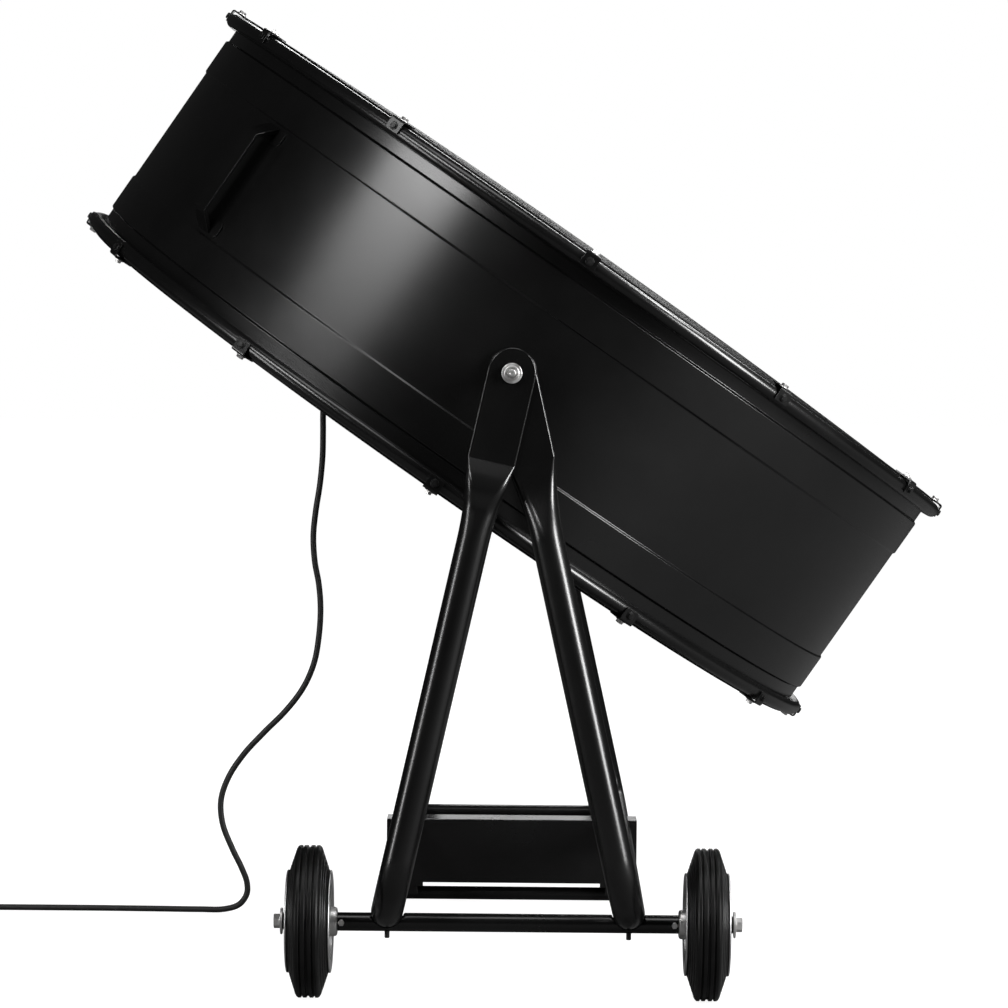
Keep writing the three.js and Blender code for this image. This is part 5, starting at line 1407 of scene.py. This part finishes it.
def sheet_shape(ends, share, lifts, steps, corner=0):
    """A curved sheet between two radii, two shares of the chord and two lifts.

    corner draws the chord in at both ends.
    """
    along, across = steps
    rings = []
    for i in range(along + 1):
        radius = mix(*ends, i / along)
        inside = clamp(min(i, along - i) / along / CORNER_LENGTH)
        draw = corner * (1 - math.sqrt(1 - (1 - inside) ** 2))
        low, high = mix(0.5, share[0], 1 - draw), mix(0.5, share[1], 1 - draw)
        chord = [mix(low, high, j / across) for j in range(across + 1)]
        rings.append([on_blade(radius, s, lifts[1]) for s in chord]
                     + [on_blade(radius, s, lifts[0]) for s in reversed(chord)])
    return loft(rings)


def blade_rivets():
    """One blade's rivets, each standing square to the sheet."""
    half = BLADE_THICK / 2
    rivets = []
    for radius in RIVET_RADII:
        for s in RIVET_SHARES:
            point = on_blade(radius, s, half)
            ahead = on_blade(radius, s + 0.02, half) - point
            outward = on_blade(radius + 4, s, half) - point
            up = outward.cross(ahead).normalized()
            up = up if up.z > 0 else -up
            turn = up.to_track_quat("Z", "Y").to_matrix().to_4x4()
            rivets.append(moved(rivet_shape(*RIVET), Matrix.Translation(point) @ turn))
    return joined(*rivets)


def add_rotor():
    half = BLADE_THICK / 2
    blade = sheet_shape((BLADE_ROOT, BLADE_TIP), (0, 1), (-half, half), BLADE_STEPS, CORNER_DRAW)
    for i in range(BLADES):
        place = DRUM @ turned_about("Z", 360 / BLADES * i)
        make(f"blade_{i + 1}_pressed", blade, BLADE, "rotor", [f"blade_{i + 1}"], place, edge=0.7)
    boss = lathe(filleted(raised(BOSS_PROFILE, HUB_REAR), BOSS_BENDS, 4), 72, True)
    make("hub_boss", boss, STEEL, "rotor", ["fan_hub"], DRUM)
    under = -half - TOUCH
    arm = sheet_shape((ARM_ROOT, ARM_TIP), ARM_SHARE, (under - ARM_THICK, under), ARM_STEPS)
    round_about("hub_arms", arm, BLADES, STEEL, "rotor", place=DRUM, edge=0.6)
    round_about("blade_rivets", blade_rivets(), BLADES, ZINC, "rotor", place=DRUM)
    screw = moved(screw_shape(*SET_SCREW), Matrix.Translation(SET_SCREW_PLACE) @ turned_about("Y", 90))
    round_about("hub_set_screws", screw, 2, ZINC, "rotor", place=DRUM, turn=60)


add_rotor()

# ---------------------------------------------------------------- switch

SWITCH_PLACE = (-180, 144)
SWITCH_SIZE = (58, 92, 36)
SWITCH_FRONT = STRUT_REAR - TOUCH
SWITCH_REAR = SWITCH_FRONT - SWITCH_SIZE[2]
SWITCH_SCREW = (3.2, 1.8)
SWITCH_SCREW_PLACE = (22, 39)
SWITCH_SCREW_LET_IN = 0.2
SPEEDS = 4
SPEED_TURN = 40
MARK_RADIUS = 23.5
MARK_PROFILE = [(0, 0), (1.6, 0), (1.2, 0.5), (0, 0.6)]
KNOB_PLACE = (-175, 165)
KNOB_REACH = 187
KNOB_HEIGHT = 20
KNOB_RADIUS = 18
KNOB_STEM = 6
KNOB_GRIPS = 18
GRIP_RADIUS = 1.1
GRIP_PLACE = KNOB_RADIUS - 0.9
LEAD_RADIUS = 3
LEAD_PLACE = 126
LEAD_STRAIGHT = 12
LEAD_BEND = (36, 12, 0)         # distances from the motor at which the lead's curve is set


def switch_housing():
    outline = rounded_rectangle(*SWITCH_SIZE[:2], 6, 6)
    return shifted(prism(outline, SWITCH_REAR, SWITCH_FRONT), *SWITCH_PLACE)


def switch_screws():
    screws = []
    for x in (-SWITCH_SCREW_PLACE[0], SWITCH_SCREW_PLACE[0]):
        for y in (-SWITCH_SCREW_PLACE[1], SWITCH_SCREW_PLACE[1]):
            seat = (SWITCH_PLACE[0] + x, SWITCH_PLACE[1] + y, SWITCH_REAR + SWITCH_SCREW_LET_IN)
            place = Matrix.Translation(seat) @ turned_about("X", 180)
            screws.append(moved(rivet_shape(*SWITCH_SCREW), place))
    return joined(*screws)


def speed_marks():
    marks = []
    for i in range(SPEEDS):
        angle = math.radians(180 - SPEED_TURN * i)
        x = KNOB_PLACE[0] + MARK_RADIUS * math.cos(angle)
        y = KNOB_PLACE[1] - MARK_RADIUS * math.sin(angle)
        place = Matrix.Translation((x, y, SWITCH_REAR)) @ turned_about("X", 180)
        marks.append(moved(lathe(MARK_PROFILE, 16), place))
    return joined(*marks)


def knob_shape():
    """A knob with grips round it, on a stem that stops short of the box."""
    seat = SWITCH_REAR - TOUCH
    low = KNOB_HEIGHT - KNOB_REACH
    outline = [(0, -KNOB_REACH), (KNOB_RADIUS - 2, -KNOB_REACH), (KNOB_RADIUS, low), (KNOB_STEM, low),
               (KNOB_STEM, seat), (0, seat)]
    body = lathe(filleted(outline, [0.1, 2, 1, 0.5, 0.5, 0.1], 4, closed=False), 64)
    grip = lathe([(0, 3 - KNOB_REACH), (GRIP_RADIUS, 3.6 - KNOB_REACH), (GRIP_RADIUS, low - 0.6),
                  (0, low)], 10)
    grips = [shifted(grip, x, y) for x, y in circle(GRIP_PLACE, KNOB_GRIPS)]
    return joined(body, *grips)


def add_switch():
    make("switch_housing", switch_housing(), PLASTIC, "drum", ["switch_box"], DRUM, edge=1.5)
    make("switch_screws", switch_screws(), BLACK_STEEL, "drum", place=DRUM)
    make("speed_marks", speed_marks(), ZINC, "drum", place=DRUM)
    knob = shifted(knob_shape(), *KNOB_PLACE)
    make("knob_ridged", knob, PLASTIC, "knob", ["speed_knob"], DRUM)
    pointer = block((0, KNOB_RADIUS - 1), (-1.5, 1.5), (-KNOB_REACH - 1.4, -KNOB_REACH + 1))
    make("knob_pointer", shifted(pointer, *KNOB_PLACE), ZINC, "knob", place=DRUM, edge=0.4)


def add_motor_lead():
    height = (SWITCH_FRONT + SWITCH_REAR) / 2
    leave = SWITCH_PLACE[0] + SWITCH_SIZE[0] / 2 + TOUCH
    radial = Vector((-math.sqrt(0.5), math.sqrt(0.5), 0))
    points = [Vector((leave, LEAD_PLACE, height)), Vector((leave + LEAD_STRAIGHT, LEAD_PLACE, height))]
    points += [radial * (MOTOR_RADIUS + TOUCH + away) + Vector((0, 0, height)) for away in LEAD_BEND]
    lead = tube(smooth_path(points, ROUTE_STEPS), LEAD_RADIUS, 14)
    make("motor_lead_round", lead, CORD, "drum", ["motor_lead"], DRUM)


add_switch()
add_motor_lead()

# ---------------------------------------------------------------- floor, background and light

WHITE = (1, 1, 1, 1)
FLOOR_BOX = ((-15000, 15000), (-9000, 21000), (-20, -0.5))
FLOOR_NEAR, FLOOR_FAR = 0.8, 3.0    # metres over which the floor's glow rises to white
SHADED_FLOOR = 0.94             # how white the camera sees the floor near the fan, without any light
FLOOR_SHARE = 0.25              # how much of the light that falls there is added
FLOOR_BOUNCE = 0.12             # what the object sees of that light
SURROUND = 0.02                 # what the object sees of the surround


def add_floor():
    floor = link("floor", mesh_of("floor", block(*FLOOR_BOX)))
    material = bpy.data.materials.new("white_floor")
    material.use_nodes = True
    tree = material.node_tree
    surface = tree.nodes["Principled BSDF"]
    surface.inputs["Roughness"].default_value = 0.8
    surface.inputs["Specular IOR Level"].default_value = 0.1
    surface.inputs["Emission Color"].default_value = WHITE
    seen = tree.nodes.new("ShaderNodeLightPath")
    own = tree.nodes.new("ShaderNodeMapRange")
    own.inputs["To Min"].default_value = FLOOR_BOUNCE
    own.inputs["To Max"].default_value = FLOOR_SHARE
    tree.links.new(seen.outputs["Is Camera Ray"], own.inputs["Value"])
    tree.links.new(own.outputs["Result"], surface.inputs["Base Color"])
    place = tree.nodes.new("ShaderNodeTexCoord")
    away = tree.nodes.new("ShaderNodeVectorMath")
    away.operation = "LENGTH"
    glow = tree.nodes.new("ShaderNodeMapRange")
    glow.inputs["From Min"].default_value = FLOOR_NEAR
    glow.inputs["From Max"].default_value = FLOOR_FAR
    glow.inputs["To Min"].default_value = SHADED_FLOOR
    camera_only = tree.nodes.new("ShaderNodeMath")
    camera_only.operation = "MULTIPLY"
    tree.links.new(place.outputs["Object"], away.inputs[0])
    tree.links.new(away.outputs["Value"], glow.inputs["Value"])
    tree.links.new(glow.outputs["Result"], camera_only.inputs[0])
    tree.links.new(seen.outputs["Is Camera Ray"], camera_only.inputs[1])
    tree.links.new(camera_only.outputs[0], surface.inputs["Emission Strength"])
    floor.data.materials.append(material)


def add_world():
    world = bpy.data.worlds.new("white_surround")
    world.use_nodes = True
    tree = world.node_tree
    tree.nodes.clear()
    seen = tree.nodes.new("ShaderNodeLightPath")
    strength = tree.nodes.new("ShaderNodeMapRange")
    strength.inputs["To Min"].default_value = SURROUND
    strength.inputs["To Max"].default_value = 1
    surround = tree.nodes.new("ShaderNodeBackground")
    surround.inputs["Color"].default_value = WHITE
    result = tree.nodes.new("ShaderNodeOutputWorld")
    tree.links.new(seen.outputs["Is Camera Ray"], strength.inputs["Value"])
    tree.links.new(strength.outputs["Result"], surround.inputs["Strength"])
    tree.links.new(surround.outputs["Background"], result.inputs["Surface"])
    bpy.context.scene.world = world


def add_lamp(name, place, target, size, power, up=(0, 0, 1)):
    """A soft area lamp; its second size lies along up."""
    lamp = bpy.data.lights.new(name, "AREA")
    lamp.shape = "RECTANGLE"
    lamp.size, lamp.size_y = size
    lamp.energy = power
    stand = bpy.data.objects.new(name, lamp)
    bpy.context.scene.collection.objects.link(stand)
    back = (Vector(place) - Vector(target)).normalized()
    across = Vector(up).cross(back).normalized()
    turn = Matrix((across, back.cross(across), back)).transposed().to_4x4()
    stand.matrix_world = Matrix.Translation(place) @ turn
    stand.visible_camera = False


AXIS = tuple(DRUM.to_3x3() @ Vector((0, 0, 1)))

add_floor()
add_world()
add_lamp("key_softbox", (-2.25, -2.9, 2.8), (-0.3, -0.5, 0.97), (1.7, 0.6), 70, up=AXIS)
add_lamp("right_strip", (2.9, -2.0, 1.35), (0, -0.5, 0.7), (0.9, 1.8), 190)
add_lamp("left_strip", (-3.0, -1.6, 0.8), (0, -0.5, 0.4), (0.4, 1.4), 30)
add_lamp("upper_right_strip", (2.5, 0.4, 3.2), (0.1, -0.5, 0.85), (1.6, 0.3), 60)
add_lamp("high_backlight", (0.9, 2.6, 2.6), (0, -0.3, 0.9), (3.0, 0.4), 45)
add_lamp("low_backlight", (0, 4.0, 0.75), (0, 0, 0.3), (2.4, 0.45), 7)
add_lamp("top_softbox", (0.2, -1.6, 3.8), (0, -0.2, 0.6), (2.0, 1.2), 30)

bpy.context.scene.view_settings.view_transform = "Standard"
